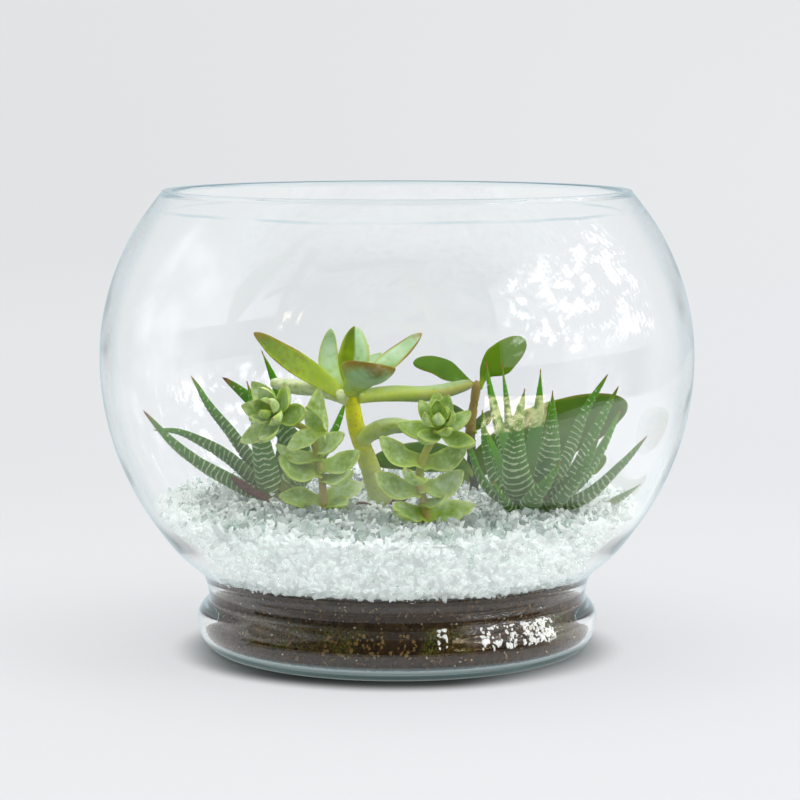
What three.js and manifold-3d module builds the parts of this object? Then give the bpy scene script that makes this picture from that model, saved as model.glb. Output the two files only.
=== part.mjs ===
// A footed glass bubble bowl planted with small succulents. Millimetres, +Z up.
// The origin is at the middle of the bowl's flat underside, and -Y is the front.
import * as THREE from 'three';
import { mergeVertices } from 'three/addons/utils/BufferGeometryUtils.js';
import Module from 'manifold-3d';

const wasm = await Module();
wasm.setup();

// ---- driving dimensions ----------------------------------------------------------------
const RIM_Z = 216;              // height of the ground rim
const BELLY_RADIUS = 139;       // widest outer radius
const BELLY_Z = 137.5;          // height of the widest place
const BELLY_RISE = 126.5;       // half height of the ellipse above the widest place
const BELLY_DROP = 134.5;       // half height of the ellipse below it
const BODY_START_Z = 43;        // where the waist runs into the ellipse
const WALL = 4;                 // glass thickness of the body
const RIM_WALL = 5.4;           // thicker band of glass at the rim
const RIM_BAND = 9;             // height of that band
const RIM_STEP = 3;             // height over which the band runs out
const RIM_EDGE = 0.9;           // bevel along both edges of the rim
const BASE_THICKNESS = 4;       // glass under the soil
const TURN_SEGMENTS = 36;       // facets around everything that is turned
const FOOT_STEPS = 8;           // steps up the foot and waist
const BODY_STEPS = 11;          // steps up the outside of the body
const INNER_STEPS = 8;          // steps up its inside, from the crushed glass to the rim
const BED_STEPS = 3;            // steps up the side of the crushed glass

const GAP = 0.3;                // clearance between neighbouring pieces
const SOIL_GAP = 0.5;           // clearance between the lumpy soil and the crushed glass on it
const SOIL_TOP_Z = 36;          // mean height of the soil
const SOIL_TOP_RADIUS = 86;     // where the soil meets the glass
const BED_TOP_Z = 69.5;         // mean height of the crushed glass
const BED_SIDE_Z = 67;          // where its rounded edge begins
const SOIL_SHOULDER = 4;        // height over which the soil's side turns into its top
const SOIL_RINGS = 5;           // rings across the top of the soil
const BED_RINGS = 7;            // rings across the top of the crushed glass
const COVER_BAND = 0.5;         // how near a flat cover a point lies to get its lumps
const ROOT_DEPTH = -46;         // where each stalk ends below its plant's foot

const LEAF_SIDES = 8;           // points around a leaf or stem section
const LEAF_STATIONS = 8;        // steps along a leaf
const STEM_STATIONS = 9;        // steps along a stem
const LEAF_END = 0.035;         // share of a leaf's length from each tip to its first ring
const STEM_END = 0.008;         // the same for a stem
const NECK_SHARE = 0.32;        // how much of its width a leaf has at its very foot
const NECK_LENGTH = 0.22;       // share of its length over which it gains a full width

const HEAD_LEAVES = 8;          // leaves in a branch tip
const HEAD_HEART = 0.24;        // radius of its middle, as a share of its reach
const HEAD_RISE = [0.05, 1.35]; // how far its outermost and innermost leaves rise, in radians
const HEAD_INNERMOST = 0.62;    // length of the innermost leaf, as a share of the outermost
const HEAD_BULGE = 0.08;        // how far each leaf bows outwards, as a share of its length
const GOLDEN_TURN = THREE.MathUtils.degToRad(137.5); // turn from each leaf to the next

// outer line of the foot and waist, from the flat underside to the start of the body
const FOOT_LINE = [
  [83, 0], [88.6, 2.2], [92.8, 8], [94.2, 15], [92.4, 22], [89.2, 28.5], [90.4, 34],
];
// inner line of the same glass, from the inside floor to the start of the body
const FOOT_INNER_LINE = [
  [83, BASE_THICKNESS], [88, 6.4], [90.2, 13], [88.8, 21], [85.4, 28.5], [86.6, 34.5],
];

const material = (color, roughness, extra = {}) =>
  new THREE.MeshStandardMaterial({ color, roughness, metalness: 0, ...extra });

const FINISH = {
  glass: material(0xdceef0, 0.03, { transparent: true, opacity: 0.35 }),
  soil: material(0x3b2c22, 0.95),
  chips: material(0xe2efec, 0.25),
  haworthia: material(0x2f5a35, 0.5),
  crown: material(0x6b5a3c, 0.8),
  stem: material(0xa3a95c, 0.6),
  thinStem: material(0xb08f72, 0.6),
  stonecrop: material(0x9fb681, 0.5),
  sedum: material(0x9db58c, 0.55),
  jade: material(0x3f7a2a, 0.35),
};

// ---- solids ----------------------------------------------------------------------------
function toSolid(geometry) {
  const bare = geometry.clone();
  bare.deleteAttribute('normal');
  bare.deleteAttribute('uv');
  const merged = mergeVertices(bare, 1e-3);
  return new wasm.Manifold(new wasm.Mesh({
    numProp: 3,
    vertProperties: Float32Array.from(merged.attributes.position.array),
    triVerts: Uint32Array.from(merged.index.array),
  }));
}

function toGeometry(solid) {
  const { vertProperties, triVerts } = solid.getMesh();
  const geometry = new THREE.BufferGeometry();
  geometry.setAttribute('position', new THREE.BufferAttribute(vertProperties, 3));
  geometry.setIndex(new THREE.BufferAttribute(triVerts, 1));
  return geometry;
}

function named(name, geometry, finish) {
  const mesh = new THREE.Mesh(geometry, finish);
  mesh.name = name;
  return mesh;
}

// ---- the bowl --------------------------------------------------------------------------
// radius of the body at height z, taken in from the outer glass by an inset
function bodyRadius(z, inset) {
  const reach = (z > BELLY_Z ? BELLY_RISE : BELLY_DROP) - inset;
  return (BELLY_RADIUS - inset) * Math.sqrt(1 - ((z - BELLY_Z) / reach) ** 2);
}

function bodyLine(fromZ, toZ, steps, inset) {
  const line = [];
  for (let i = 0; i <= steps; i += 1) {
    const z = THREE.MathUtils.lerp(fromZ, toZ, i / steps);
    line.push(new THREE.Vector2(bodyRadius(z, inset), z));
  }
  return line;
}

function footLine(points, steps) {
  const line = new THREE.SplineCurve(points.map(([r, z]) => new THREE.Vector2(r, z)));
  return line.getPoints(steps);
}

// the inside of the foot up to a height, taken in by a clearance
function footInside(topZ, clearance) {
  const floorZ = BASE_THICKNESS + clearance;
  const line = footLine(FOOT_INNER_LINE, FOOT_STEPS);
  const takenIn = line.map((p) => new THREE.Vector2(p.x - clearance, Math.max(p.y, floorZ)));
  return takenIn.filter((p) => p.y < topZ);
}

function bowl() {
  const outside = [
    ...footLine(FOOT_LINE, FOOT_STEPS),
    ...bodyLine(BODY_START_Z, RIM_Z - RIM_EDGE, BODY_STEPS, 0),
  ];
  const rimPoint = (inset) => new THREE.Vector2(bodyRadius(RIM_Z, inset), RIM_Z);
  const rim = [rimPoint(RIM_EDGE), rimPoint(RIM_WALL - RIM_EDGE)];
  const inside = [
    ...footLine(FOOT_INNER_LINE, FOOT_STEPS),
    ...bodyLine(BODY_START_Z, BED_SIDE_Z, BED_STEPS, WALL),
    ...bodyLine(BED_SIDE_Z, RIM_Z - RIM_BAND - RIM_STEP, INNER_STEPS, WALL).slice(1),
    ...bodyLine(RIM_Z - RIM_BAND, RIM_Z - RIM_EDGE, 1, RIM_WALL),
  ].reverse();
  const axisPoint = (z) => new THREE.Vector2(0, z);
  const profile = [axisPoint(0), ...outside, ...rim, ...inside, axisPoint(BASE_THICKNESS)];
  return turned(profile);
}

// a profile in radius and height, turned round the Z axis
function turned(profile) {
  const geometry = new THREE.LatheGeometry(profile, TURN_SEGMENTS);
  geometry.rotateX(Math.PI / 2);
  return geometry;
}

// ---- soil and crushed glass ------------------------------------------------------------
// gentle lumps of a poured surface
const soilLump = (x, y) => 1.3 * Math.sin(x / 30 + 0.8) * Math.cos(y / 34);
const bedLump = (x, y) =>
  1.2 * Math.sin(x / 23 + 1.1) * Math.cos(y / 19 + 0.4) + 0.4 * Math.sin(x / 11 + y / 13);

// gives the flat top or bottom of a turned solid its lumps
function lumpy(geometry, z, lump) {
  const position = geometry.attributes.position;
  for (let i = 0; i < position.count; i += 1) {
    if (Math.abs(position.getZ(i) - z) < COVER_BAND) {
      position.setZ(i, position.getZ(i) + lump(position.getX(i), position.getY(i)));
    }
  }
  return geometry;
}

// the rings of a flat cover, from near its edge to near the axis
function flatCover(radius, z, rings) {
  const line = [];
  for (let i = 1; i < rings; i += 1) line.push(new THREE.Vector2(radius * (1 - i / rings), z));
  return line;
}

function soil() {
  const side = footInside(SOIL_TOP_Z - SOIL_SHOULDER, GAP);
  const edge = new THREE.Vector2(SOIL_TOP_RADIUS, SOIL_TOP_Z);
  const top = [...flatCover(edge.x, SOIL_TOP_Z, SOIL_RINGS), new THREE.Vector2(0, SOIL_TOP_Z)];
  const profile = [new THREE.Vector2(0, BASE_THICKNESS + GAP), ...side, edge, ...top];
  return lumpy(turned(profile), SOIL_TOP_Z, soilLump);
}

function crushedGlassBed() {
  const floorZ = SOIL_TOP_Z + SOIL_GAP;
  const side = bodyLine(BODY_START_Z, BED_SIDE_Z, BED_STEPS, WALL + GAP);
  const edge = new THREE.Vector2(side[side.length - 1].x, BED_TOP_Z);
  const floor = [
    new THREE.Vector2(0, floorZ),
    ...flatCover(SOIL_TOP_RADIUS, floorZ, SOIL_RINGS).reverse(),
    new THREE.Vector2(SOIL_TOP_RADIUS, floorZ),
  ];
  const top = [...flatCover(edge.x, BED_TOP_Z, BED_RINGS), new THREE.Vector2(0, BED_TOP_Z)];
  const lumpyFloor = lumpy(turned([...floor, ...side, edge, ...top]), floorZ, soilLump);
  return lumpy(lumpyFloor, BED_TOP_Z, bedLump);
}

// ---- leaves and stems ------------------------------------------------------------------
// Both start as a sphere: its poles become the two ends, and its rings the sections between.
function loft(stations, sides, sectionAt) {
  const geometry = new THREE.SphereGeometry(1, sides, stations);
  const position = geometry.attributes.position;
  for (let i = 0; i <= stations; i += 1) {
    for (let k = 0; k <= sides; k += 1) {
      const point = sectionAt(i / stations, (2 * Math.PI * (k % sides)) / sides);
      position.setXYZ(i * (sides + 1) + k, point.x, point.y, point.z);
    }
  }
  return geometry;
}

function curveThrough(points) {
  return new THREE.CatmullRomCurve3(points.map((p) => new THREE.Vector3(...p)), false, 'centripetal');
}

// half width along a leaf, as a share of its widest, from base (0) to tip (1)
const OUTLINE = {
  spear: (t) => (0.72 + 0.28 * Math.sin(Math.min(t / 0.3, 1) * Math.PI / 2)) * (1 - t ** 2.1) ** 0.9,
  spoon: (t) => (0.5 + 0.5 * THREE.MathUtils.smoothstep(t, 0, 0.62)) * Math.sqrt(1 - t ** 3.4),
  bar: (t) => (0.7 + 0.3 * THREE.MathUtils.smoothstep(t, 0, 0.35)) * Math.sqrt(1 - t ** 3.4),
  oval: (t) => (0.2 + 0.8 * THREE.MathUtils.smoothstep(t, 0, 0.5)) * Math.sqrt(1 - t ** 4.2),
};

// how a leaf section departs from an ellipse: depth of its upper and lower halves, and raised margins
const SECTION = {
  spear: { upper: 0.4, lower: 1, margin: 0.1 },
  spoon: { upper: 0.55, lower: 1, margin: 0.2 },
  bar: { upper: 0.7, lower: 1, margin: 0.1 },
  oval: { upper: 0.8, lower: 1, margin: 0.1 },
};

// where a ring lies along its midline: the first and last lie just inside the two poles,
// by the inset as a share of the length
function stationAt(s, stations, inset) {
  if (s === 0 || s === 1) return s;
  return THREE.MathUtils.lerp(inset, 1 - inset, (s * stations - 1) / (stations - 2));
}

// a leaf, or the room that it takes when it is grown by a clearance
function leaf({ path, face, width, thick, kind }, grow = 0) {
  const curve = curveThrough(path);
  const facing = new THREE.Vector3(...face);
  const { upper, lower, margin } = SECTION[kind];
  return loft(LEAF_STATIONS, LEAF_SIDES, (s, angle) => {
    const t = stationAt(s, LEAF_STATIONS, LEAF_END);
    const tangent = curve.getTangentAt(t);
    const up = facing.clone().addScaledVector(tangent, -facing.dot(tangent)).normalize();
    const side = new THREE.Vector3().crossVectors(tangent, up);
    const neck = Math.min(1, NECK_SHARE + t / NECK_LENGTH);
    const pole = s === 0 || s === 1;
    const share = OUTLINE[kind](t) * neck;
    const halfWidth = pole ? 0 : share * width / 2 + grow;
    const halfDepth = pole ? 0 : Math.sqrt(OUTLINE[kind](t)) * neck * thick / 2 + grow;
    const across = Math.cos(angle);
    const rise = Math.sin(angle) * (Math.sin(angle) > 0 ? upper : lower) + margin * across * across;
    const end = pole ? (s === 0 ? -grow : grow) : 0;
    return curve.getPointAt(t).addScaledVector(tangent, end)
      .addScaledVector(side, halfWidth * across).addScaledVector(up, halfDepth * rise);
  });
}

function stem({ path, radii }, grow = 0) {
  const curve = curveThrough(path);
  const reach = new THREE.Vector3(0.3, 1, 0.2).normalize();
  return loft(STEM_STATIONS, LEAF_SIDES, (s, angle) => {
    const t = stationAt(s, STEM_STATIONS, STEM_END);
    const tangent = curve.getTangentAt(t);
    const up = reach.clone().addScaledVector(tangent, -reach.dot(tangent)).normalize();
    const side = new THREE.Vector3().crossVectors(tangent, up);
    const pole = s === 0 || s === 1;
    const radius = pole ? 0 : stemRadius(radii, t) + grow;
    const end = pole ? (s === 0 ? -grow : grow) : 0;
    return curve.getPointAt(t).addScaledVector(tangent, end)
      .addScaledVector(side, radius * Math.cos(angle)).addScaledVector(up, radius * Math.sin(angle));
  });
}

// thickness eased between evenly spaced radii
function stemRadius(radii, t) {
  const at = t * (radii.length - 1);
  const i = Math.min(Math.floor(at), radii.length - 2);
  return THREE.MathUtils.lerp(radii[i], radii[i + 1], at - i);
}

// the share of a rising stem's length at which it reaches a height
function shareAt(curve, height) {
  let [low, high] = [0, 1];
  while (high - low > 1e-4) {
    const middle = (low + high) / 2;
    if (curve.getPointAt(middle).z < height) low = middle;
    else high = middle;
  }
  return low;
}

// the point just off a stem's surface at a height, towards a compass angle (0 is right, 90 is back)
function seatOn({ path, radii }, [height, compass]) {
  const curve = curveThrough(path);
  const share = shareAt(curve, height);
  const tangent = curve.getTangentAt(share);
  const angle = THREE.MathUtils.degToRad(compass);
  const out = new THREE.Vector3(Math.cos(angle), Math.sin(angle), 0);
  out.addScaledVector(tangent, -out.dot(tangent)).normalize();
  return curve.getPointAt(share).addScaledVector(out, stemRadius(radii, share) + GAP).toArray();
}

// a leaf by its seat on the stalk, the points its midline passes through up to its tip,
// its width and thickness, and where its upper side faces if that isn't up and inwards
function sprout(name, seat, points, [width, thick], face, kind) {
  const angle = THREE.MathUtils.degToRad(seat[1]);
  const inwards = [-0.8 * Math.cos(angle), -0.8 * Math.sin(angle), 1];
  return { name, seat, points, width, thick, face: face ?? inwards, kind };
}

// ---- the plants ------------------------------------------------------------------------
// Each plant is drawn about its own foot on the crushed glass, and its stalk runs down into the soil.
// A seat is a height on the stalk and a compass angle: 0 is right, 90 is back, 270 is front.
const ROSETTE_CROWN = {
  path: [[0, 0, ROOT_DEPTH], [0, 0, -20], [0, 0, 8]], radii: [2.5, 3.5, 6.2, 4.5],
};

const LEFT_HAWORTHIA = {
  name: 'left_haworthia', at: [-58, 5, 71], stalk: ROSETTE_CROWN, stalkName: 'crown', stalkFinish: 'crown',
  kind: 'spear', finish: 'haworthia',
  leaves: [
    sprout('leaf_1', [0, 190], [[-30, -5, 14], [-44, -7, 24], [-61, -9, 42]], [12, 9], [0.5, 0.6, 1]),
    sprout('leaf_2', [4, 160], [[-23, 5, 19], [-46, 9, 30], [-58, 10, 30]], [10, 8.5], [0.5, 0.6, 1]),
    sprout('leaf_3', [6, 128], [[-20, 10, 28], [-30, 13, 40], [-40, 15, 54]], [12, 8.5], [0.9, 0.6, 0.7]),
    sprout('leaf_4', [4, 335], [[12, 1, 17], [-6, 14, 37], [-26, 22, 53]], [12, 8], [0.3, 1, 0.4]),
    sprout('leaf_5', [1, 255], [[-5, -9, 22], [-9, -7, 42], [-13, -2, 54]], [13, 8], [0, 1, 0.3]),
    sprout('leaf_6', [6, 55], [[5, 14, 28], [0, 19, 50], [-7, 21, 67]], [11, 8]),
    sprout('leaf_7', [1, 12], [[18, 12, 13], [27, 20, 27], [33, 26, 42]], [11, 8]),
    sprout('leaf_8', [1, 95], [[-5, 22, 14], [-10, 35, 27], [-14, 46, 42]], [11, 8]),
  ],
};

const RIGHT_HAWORTHIA = {
  name: 'right_haworthia', at: [64, -28, 71], stalk: ROSETTE_CROWN, stalkName: 'crown', stalkFinish: 'crown',
  kind: 'spear', finish: 'haworthia',
  leaves: [
    sprout('leaf_1', [0, 168], [[-17, 4, 5], [-25, 5, 14], [-31, 5, 30]], [10, 7]),
    sprout('leaf_2', [4, 186], [[-15, -4, 9], [-21, -5, 21], [-25, -4, 45]], [9, 7]),
    sprout('leaf_3', [6, 140], [[-12, 11, 22], [-19, 20, 46], [-22, 25, 64]], [9.5, 7]),
    sprout('leaf_4', [2, 236], [[-9, -13, 14], [-10, -15, 34], [-6, -13, 56]], [15.5, 8.5], [0.25, 1, 0.2]),
    sprout('leaf_5', [7, 92], [[0, 11, 24], [2, 18, 42], [3, 24, 61]], [10, 7.5]),
    sprout('leaf_6', [6, 290], [[4, -7, 16], [7, -8, 32], [7, -5, 54]], [12, 8], [-0.1, 1, 0.2]),
    sprout('leaf_7', [0, 258], [[-3, -20, 6.5], [3, -29, 15], [9, -35, 26]], [12, 8], [-0.3, 1, 0.5]),
    sprout('leaf_8', [5, 45], [[13, 10, 20], [24, 15, 44], [34, 18, 59]], [11.5, 8], [-0.8, 0.5, 0.6]),
    sprout('leaf_9', [3, 328], [[14, -7, 13], [26, -8, 36], [37, -6, 56]], [12, 8], [-0.9, 0.6, 0.5]),
    sprout('leaf_10', [0, 302], [[12, -19, 9], [19, -27, 21], [26, -32, 36]], [10, 7.5], [-0.6, 0.8, 0.6]),
    sprout('leaf_11', [1, 14], [[20, 8, 10], [30, 15, 24], [41, 24, 41]], [10.5, 7.5]),
    sprout('leaf_12', [-1, 342], [[22, -8, 6], [34, -10, 17], [49, -11, 34]], [9.5, 7], [-0.5, 0.7, 0.8]),
    sprout('leaf_13', [0, 120], [[-12, 22, 10], [-17, 31, 19], [-22, 40, 32]], [11, 8]),
  ],
};

const CENTRE_PLANT = {
  name: 'tall_stonecrop', at: [-6, -13, 71], stalkName: 'stem', stalkFinish: 'stem',
  stalk: {
    path: [[2, 0, ROOT_DEPTH], [0, 0, -8], [-7, 0, 17], [-13, 0, 34], [-16, 0, 54]],
    radii: [4, 5.4, 5.8, 5.2, 4.4, 3.8, 3],
  },
  kind: 'spoon', finish: 'stonecrop',
  leaves: [
    sprout('leaf_left', [50, 180], [[-30, -2, 58], [-43, -5, 67], [-60, -7, 80]], [15, 8], [0.35, -1, 0.8]),
    sprout('leaf_back_left', [52, 120], [[-25, 8, 60], [-26, 12, 70], [-25, 14, 80]], [12, 5], [0.4, -1, 0.2]),
    sprout('leaf_upright', [53.6, 285], [[-15, -7, 62], [-14, -7, 70], [-14, -3, 82.5]], [17, 7], [0, 1, 0.1]),
    sprout('leaf_right', [51, 20], [[-4, 3, 60], [7, 8, 69], [18, 12, 78]], [13, 6], [-0.5, -1, 0.7]),
    sprout('leaf_front', [49, 270], [[-12, -13, 54], [-8, -25, 60], [-3, -36, 68]], [23, 9], [0, 0.25, 1]),
    sprout('leaf_front_right', [46, 318], [[-1, -8, 54], [5, -13, 61], [9, -18, 67]], [12, 6], [-0.4, -0.3, 1]),
    sprout('leaf_low_left', [44, 168], [[-30, 8, 49], [-42, 15, 51], [-54, 20, 53]], [12, 9], null, 'bar'),
    sprout('leaf_low_right', [42, 38], [[4, 10, 45], [22, 24, 46], [42, 38, 51]], [11, 9], null, 'bar'),
    sprout('leaf_short', [30, 335], [[-3, -5, 34], [4, -7, 36], [13, -9, 36]], [12, 9.5], null, 'bar'),
  ],
};

const FRONT_LEFT_SEDUM = {
  name: 'front_left_sedum', at: [-33, -33, 71], stalkName: 'stem', stalkFinish: 'thinStem',
  stalk: {
    path: [[0, 2, ROOT_DEPTH], [0, 0, -6], [-1, 0, 9], [-3, 0, 20], [-6, 0, 33], [-21.3, -6.6, 43]],
    radii: [1.5, 1.8, 1.8, 1.7, 1.6, 1.5],
  },
  kind: 'spoon', finish: 'sedum',
  leaves: [
    sprout('leaf_1', [3, 200], [[-10, -4, 5], [-21, -7, 6]], [15, 6], [0, 0.9, 1]),
    sprout('leaf_2', [5, 10], [[9, 1, 8], [18, 2, 10]], [13, 6], [0, 0.9, 1]),
    sprout('leaf_3', [2, 292], [[5, -9, 4], [10, -18, 4]], [12, 4.6], [0.1, 0.2, 1]),
    sprout('leaf_4', [18, 212], [[-12, -5, 18], [-21, -9, 25]], [15, 6], [0, 0.9, 1]),
    sprout('leaf_5', [19, 5], [[6, 0, 20], [16, -1, 26]], [13.5, 6], [0, 0.9, 1]),
    sprout('leaf_6', [26.5, 330], [[0, -4, 29], [9, -7, 35]], [12, 6], [0, 0.9, 1]),
    sprout('leaf_7', [27, 36], [[-4, 4, 44], [-2, 2, 56]], [12, 5], [-0.3, 1, 0.2]),
  ],
  head: { at: [-25, -8, 45], axis: [-0.6, -0.75, 0.3], reach: 19, width: 11, thick: 5 },
};

const FRONT_RIGHT_SEDUM = {
  name: 'front_right_sedum', at: [13, -65, 71], stalkName: 'stem', stalkFinish: 'thinStem',
  stalk: {
    path: [[-1, 6, ROOT_DEPTH], [0, 0, -6], [-1, 0, 9], [-3, 0, 17], [-1, 0, 28], [5.9, 0.4, 42]],
    radii: [1.8, 2.1, 2.1, 2, 1.9, 1.7],
  },
  kind: 'spoon', finish: 'sedum',
  leaves: [
    sprout('leaf_1', [3, 225], [[-8, -7, 4], [-14, -14, 6]], [15, 6], [0, 0.9, 1]),
    sprout('leaf_2', [2, 8], [[10, 0, 3], [22, 1, 6]], [14, 6.4], [0, 0.9, 1]),
    sprout('leaf_3', [14, 188], [[-13, -2, 14], [-23, -4, 21]], [15, 6.4], [0, 0.9, 1]),
    sprout('leaf_4', [14, 5], [[7, 0, 14], [17, 1, 21]], [14, 6.2], [0, 0.9, 1]),
    sprout('leaf_5', [20, 262], [[-5, -9, 20], [-8, -18, 25]], [13, 5], [0, 0.1, 1]),
    sprout('leaf_6', [26, 182], [[-11, -1, 28], [-21, -2, 37]], [14, 5.4], [0.2, 0.6, 1]),
    sprout('leaf_7', [26, 0], [[9, 1, 26], [19, 2, 33]], [14, 6.2], [0, 0.9, 1]),
  ],
  head: { at: [7, 0, 46], axis: [0.2, -0.6, 0.8], reach: 18, width: 10.5, thick: 5 },
};

const JADE = {
  name: 'jade', at: [38, 40, 71], stalkName: 'stem', stalkFinish: 'crown',
  stalk: { path: [[0, 0, ROOT_DEPTH], [0, 0, -6], [-2, 2, 28], [1, 1, 51]], radii: [2, 2.6, 2.4, 2] },
  kind: 'oval', finish: 'jade',
  leaves: [
    sprout('leaf_left', [49, 190], [[-10, -1, 54], [-20, -2, 59], [-30, -3, 60]], [17, 4], [0.1, -0.8, 0.8]),
    sprout('leaf_right', [50, 5], [[5, 2, 54], [13, 3, 62], [24, 4, 71]], [20, 4], [0.5, 0.9, 0.1]),
  ],
};

const PADDLE = {
  name: 'paddle_leaf', at: [30, 56, 71], kind: 'oval', finish: 'jade',
  path: [[0, 0, -3], [12, 0, 8], [46, 0, 24], [84, -4, 38]],
  width: 34, thick: 4.8, face: [0.1, 1, 0.35],
};

// ---- putting the plants together -------------------------------------------------------
// A branch tip: leaves spiral up and in around its axis and grow together at their feet.
function headOf({ at, axis, reach, width, thick }) {
  const up = new THREE.Vector3(...axis).normalize();
  const first = new THREE.Vector3().crossVectors(up, new THREE.Vector3(0, 1, 0.3)).normalize();
  const second = new THREE.Vector3().crossVectors(up, first);
  const centre = new THREE.Vector3(...at);
  const heart = new THREE.SphereGeometry(reach * HEAD_HEART, LEAF_SIDES, LEAF_SIDES / 2 + 2);
  heart.translate(...at);
  let solid = toSolid(heart);
  for (let i = 0; i < HEAD_LEAVES; i += 1) {
    const inwards = i / (HEAD_LEAVES - 1);
    const turn = i * GOLDEN_TURN;
    const rise = THREE.MathUtils.lerp(...HEAD_RISE, inwards);
    const out = first.clone().multiplyScalar(Math.cos(turn)).addScaledVector(second, Math.sin(turn));
    const way = out.clone().multiplyScalar(Math.cos(rise)).addScaledVector(up, Math.sin(rise));
    const length = reach * THREE.MathUtils.lerp(1, HEAD_INNERMOST, inwards);
    const middle = centre.clone().addScaledVector(way, length / 2);
    const bend = middle.addScaledVector(out, length * HEAD_BULGE);
    const tip = centre.clone().addScaledVector(way, length);
    const petal = leaf({
      path: [centre.toArray(), bend.toArray(), tip.toArray()],
      face: up.clone().addScaledVector(out, -1).toArray(),
      width,
      thick,
      kind: 'spoon',
    });
    solid = solid.add(toSolid(petal));
  }
  return toGeometry(solid);
}

// a stalk with its leaves seated round it, and a branch tip where it has one
function plant({ name, at, stalk, stalkName, stalkFinish, kind, finish, leaves, head }) {
  const group = new THREE.Group();
  group.position.set(...at);
  group.add(named(`${name}_${stalkName}`, stem(stalk), FINISH[stalkFinish]));
  for (const item of leaves) {
    const path = [seatOn(stalk, item.seat), ...item.points];
    const shape = leaf({ ...item, path, kind: item.kind ?? kind });
    group.add(named(`${name}_${item.name}`, shape, FINISH[finish]));
  }
  if (head) group.add(named(`${name}_head`, headOf(head), FINISH[finish]));
  return group;
}

// what the soil and the crushed glass leave free: every stalk and the long leaf, with their clearance
function rootRoom(spec) {
  const grown = spec.stalk ? stem(spec.stalk, GAP) : leaf(spec, GAP);
  grown.translate(...spec.at);
  return toSolid(grown);
}

const PLANTS = [LEFT_HAWORTHIA, RIGHT_HAWORTHIA, CENTRE_PLANT, FRONT_LEFT_SEDUM, FRONT_RIGHT_SEDUM, JADE];

function withRoots(geometry) {
  let solid = toSolid(geometry);
  for (const spec of [...PLANTS, PADDLE]) solid = solid.subtract(rootRoom(spec));
  return toGeometry(solid);
}

function terrarium() {
  const group = new THREE.Group();
  group.add(named('glass_bowl', bowl(), FINISH.glass));
  group.add(named('soil', withRoots(soil()), FINISH.soil));
  group.add(named('crushed_glass_bed', withRoots(crushedGlassBed()), FINISH.chips));
  for (const spec of PLANTS) group.add(plant(spec));
  const paddle = named(PADDLE.name, leaf(PADDLE), FINISH[PADDLE.finish]);
  paddle.position.set(...PADDLE.at);
  group.add(paddle);
  return group;
}

export default terrarium();
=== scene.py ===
import math
from itertools import product

import bmesh
import bpy
import numpy as np
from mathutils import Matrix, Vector
from mathutils.bvhtree import BVHTree


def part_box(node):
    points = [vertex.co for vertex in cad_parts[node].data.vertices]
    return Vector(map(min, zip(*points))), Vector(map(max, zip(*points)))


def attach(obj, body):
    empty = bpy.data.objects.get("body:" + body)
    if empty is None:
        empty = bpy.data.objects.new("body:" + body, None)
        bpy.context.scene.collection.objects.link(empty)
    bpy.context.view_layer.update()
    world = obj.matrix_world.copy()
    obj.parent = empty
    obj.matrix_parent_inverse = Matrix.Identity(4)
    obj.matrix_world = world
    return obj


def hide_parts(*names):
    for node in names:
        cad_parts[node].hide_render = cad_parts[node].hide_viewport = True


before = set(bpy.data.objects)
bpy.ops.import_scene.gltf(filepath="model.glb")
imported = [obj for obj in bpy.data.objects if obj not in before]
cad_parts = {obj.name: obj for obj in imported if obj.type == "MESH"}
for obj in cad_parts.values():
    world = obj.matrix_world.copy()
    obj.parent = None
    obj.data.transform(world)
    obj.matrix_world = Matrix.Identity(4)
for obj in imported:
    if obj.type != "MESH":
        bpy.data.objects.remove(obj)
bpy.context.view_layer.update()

MM = 0.001
BODY = "root"

BOWL_AROUND = 144          # facets round the glass
CHIP_PITCH = 4.3           # spacing of the crushed glass
CHIP_SIZE = (1.9, 3.9)     # half size of most chips
HEAPED_SHARE = 0.34        # share of the top chips that carry another
LARGE_CHIPS = 110          # how many large clear chips lie in front
BED_SIDE = 67.0            # height where the side of the crushed glass ends
RING_HEIGHT = 205.4        # where a faint wavy line of painted reflection runs round the inside of the glass
BAND_START = 205           # height where the CAD model's thicker rim band begins
RIM_ROUNDING = 0.9         # how far the rim is rounded down inside
FOOT_INNER = 79            # the foot's ring of glass lies outside this radius
SOIL_AROUND = 560          # facets round the soil
SOIL_TOP = 37.8            # height where crushed glass meets soil
SOIL_FLOOR = 4.45          # height where the soil lies on the glass
PLANT_LIFT = 71.0          # height of every plant's foot
STEM_START = 50.0          # height where a stem begins, under the crushed glass
GOLDEN_TURN = math.radians(137.5)   # from each leaf of a branch tip to the next
BAND_PITCH = 2.65          # spacing of the white bands on the haworthias
BAND_RISE = 0.34           # how far they stand proud


# ---- numbers ------------------------------------------------------------------------------
def chance(seed):
    return np.random.default_rng(seed)


def unit(vector):
    vector = np.asarray(vector, float)
    return vector / np.maximum(np.linalg.norm(vector, axis=-1, keepdims=True), 1e-12)


def eased(value, low, high):
    """0 below low, 1 above high, and smooth between."""
    share = np.clip((value - low) / (high - low), 0, 1)
    return share * share * (3 - 2 * share)


def lattice(ix, iy, iz, seed):
    """A repeatable random number from 0 to 1 at every whole-numbered place."""
    n = (ix * 374761393 + iy * 668265263 + iz * 1440662683 + seed * 97463477) & 0xFFFFFFFF
    n = ((n ^ (n >> 13)) * 1274126177) & 0xFFFFFFFF
    return ((n ^ (n >> 16)) & 0xFFFF) / 65535.0


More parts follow.
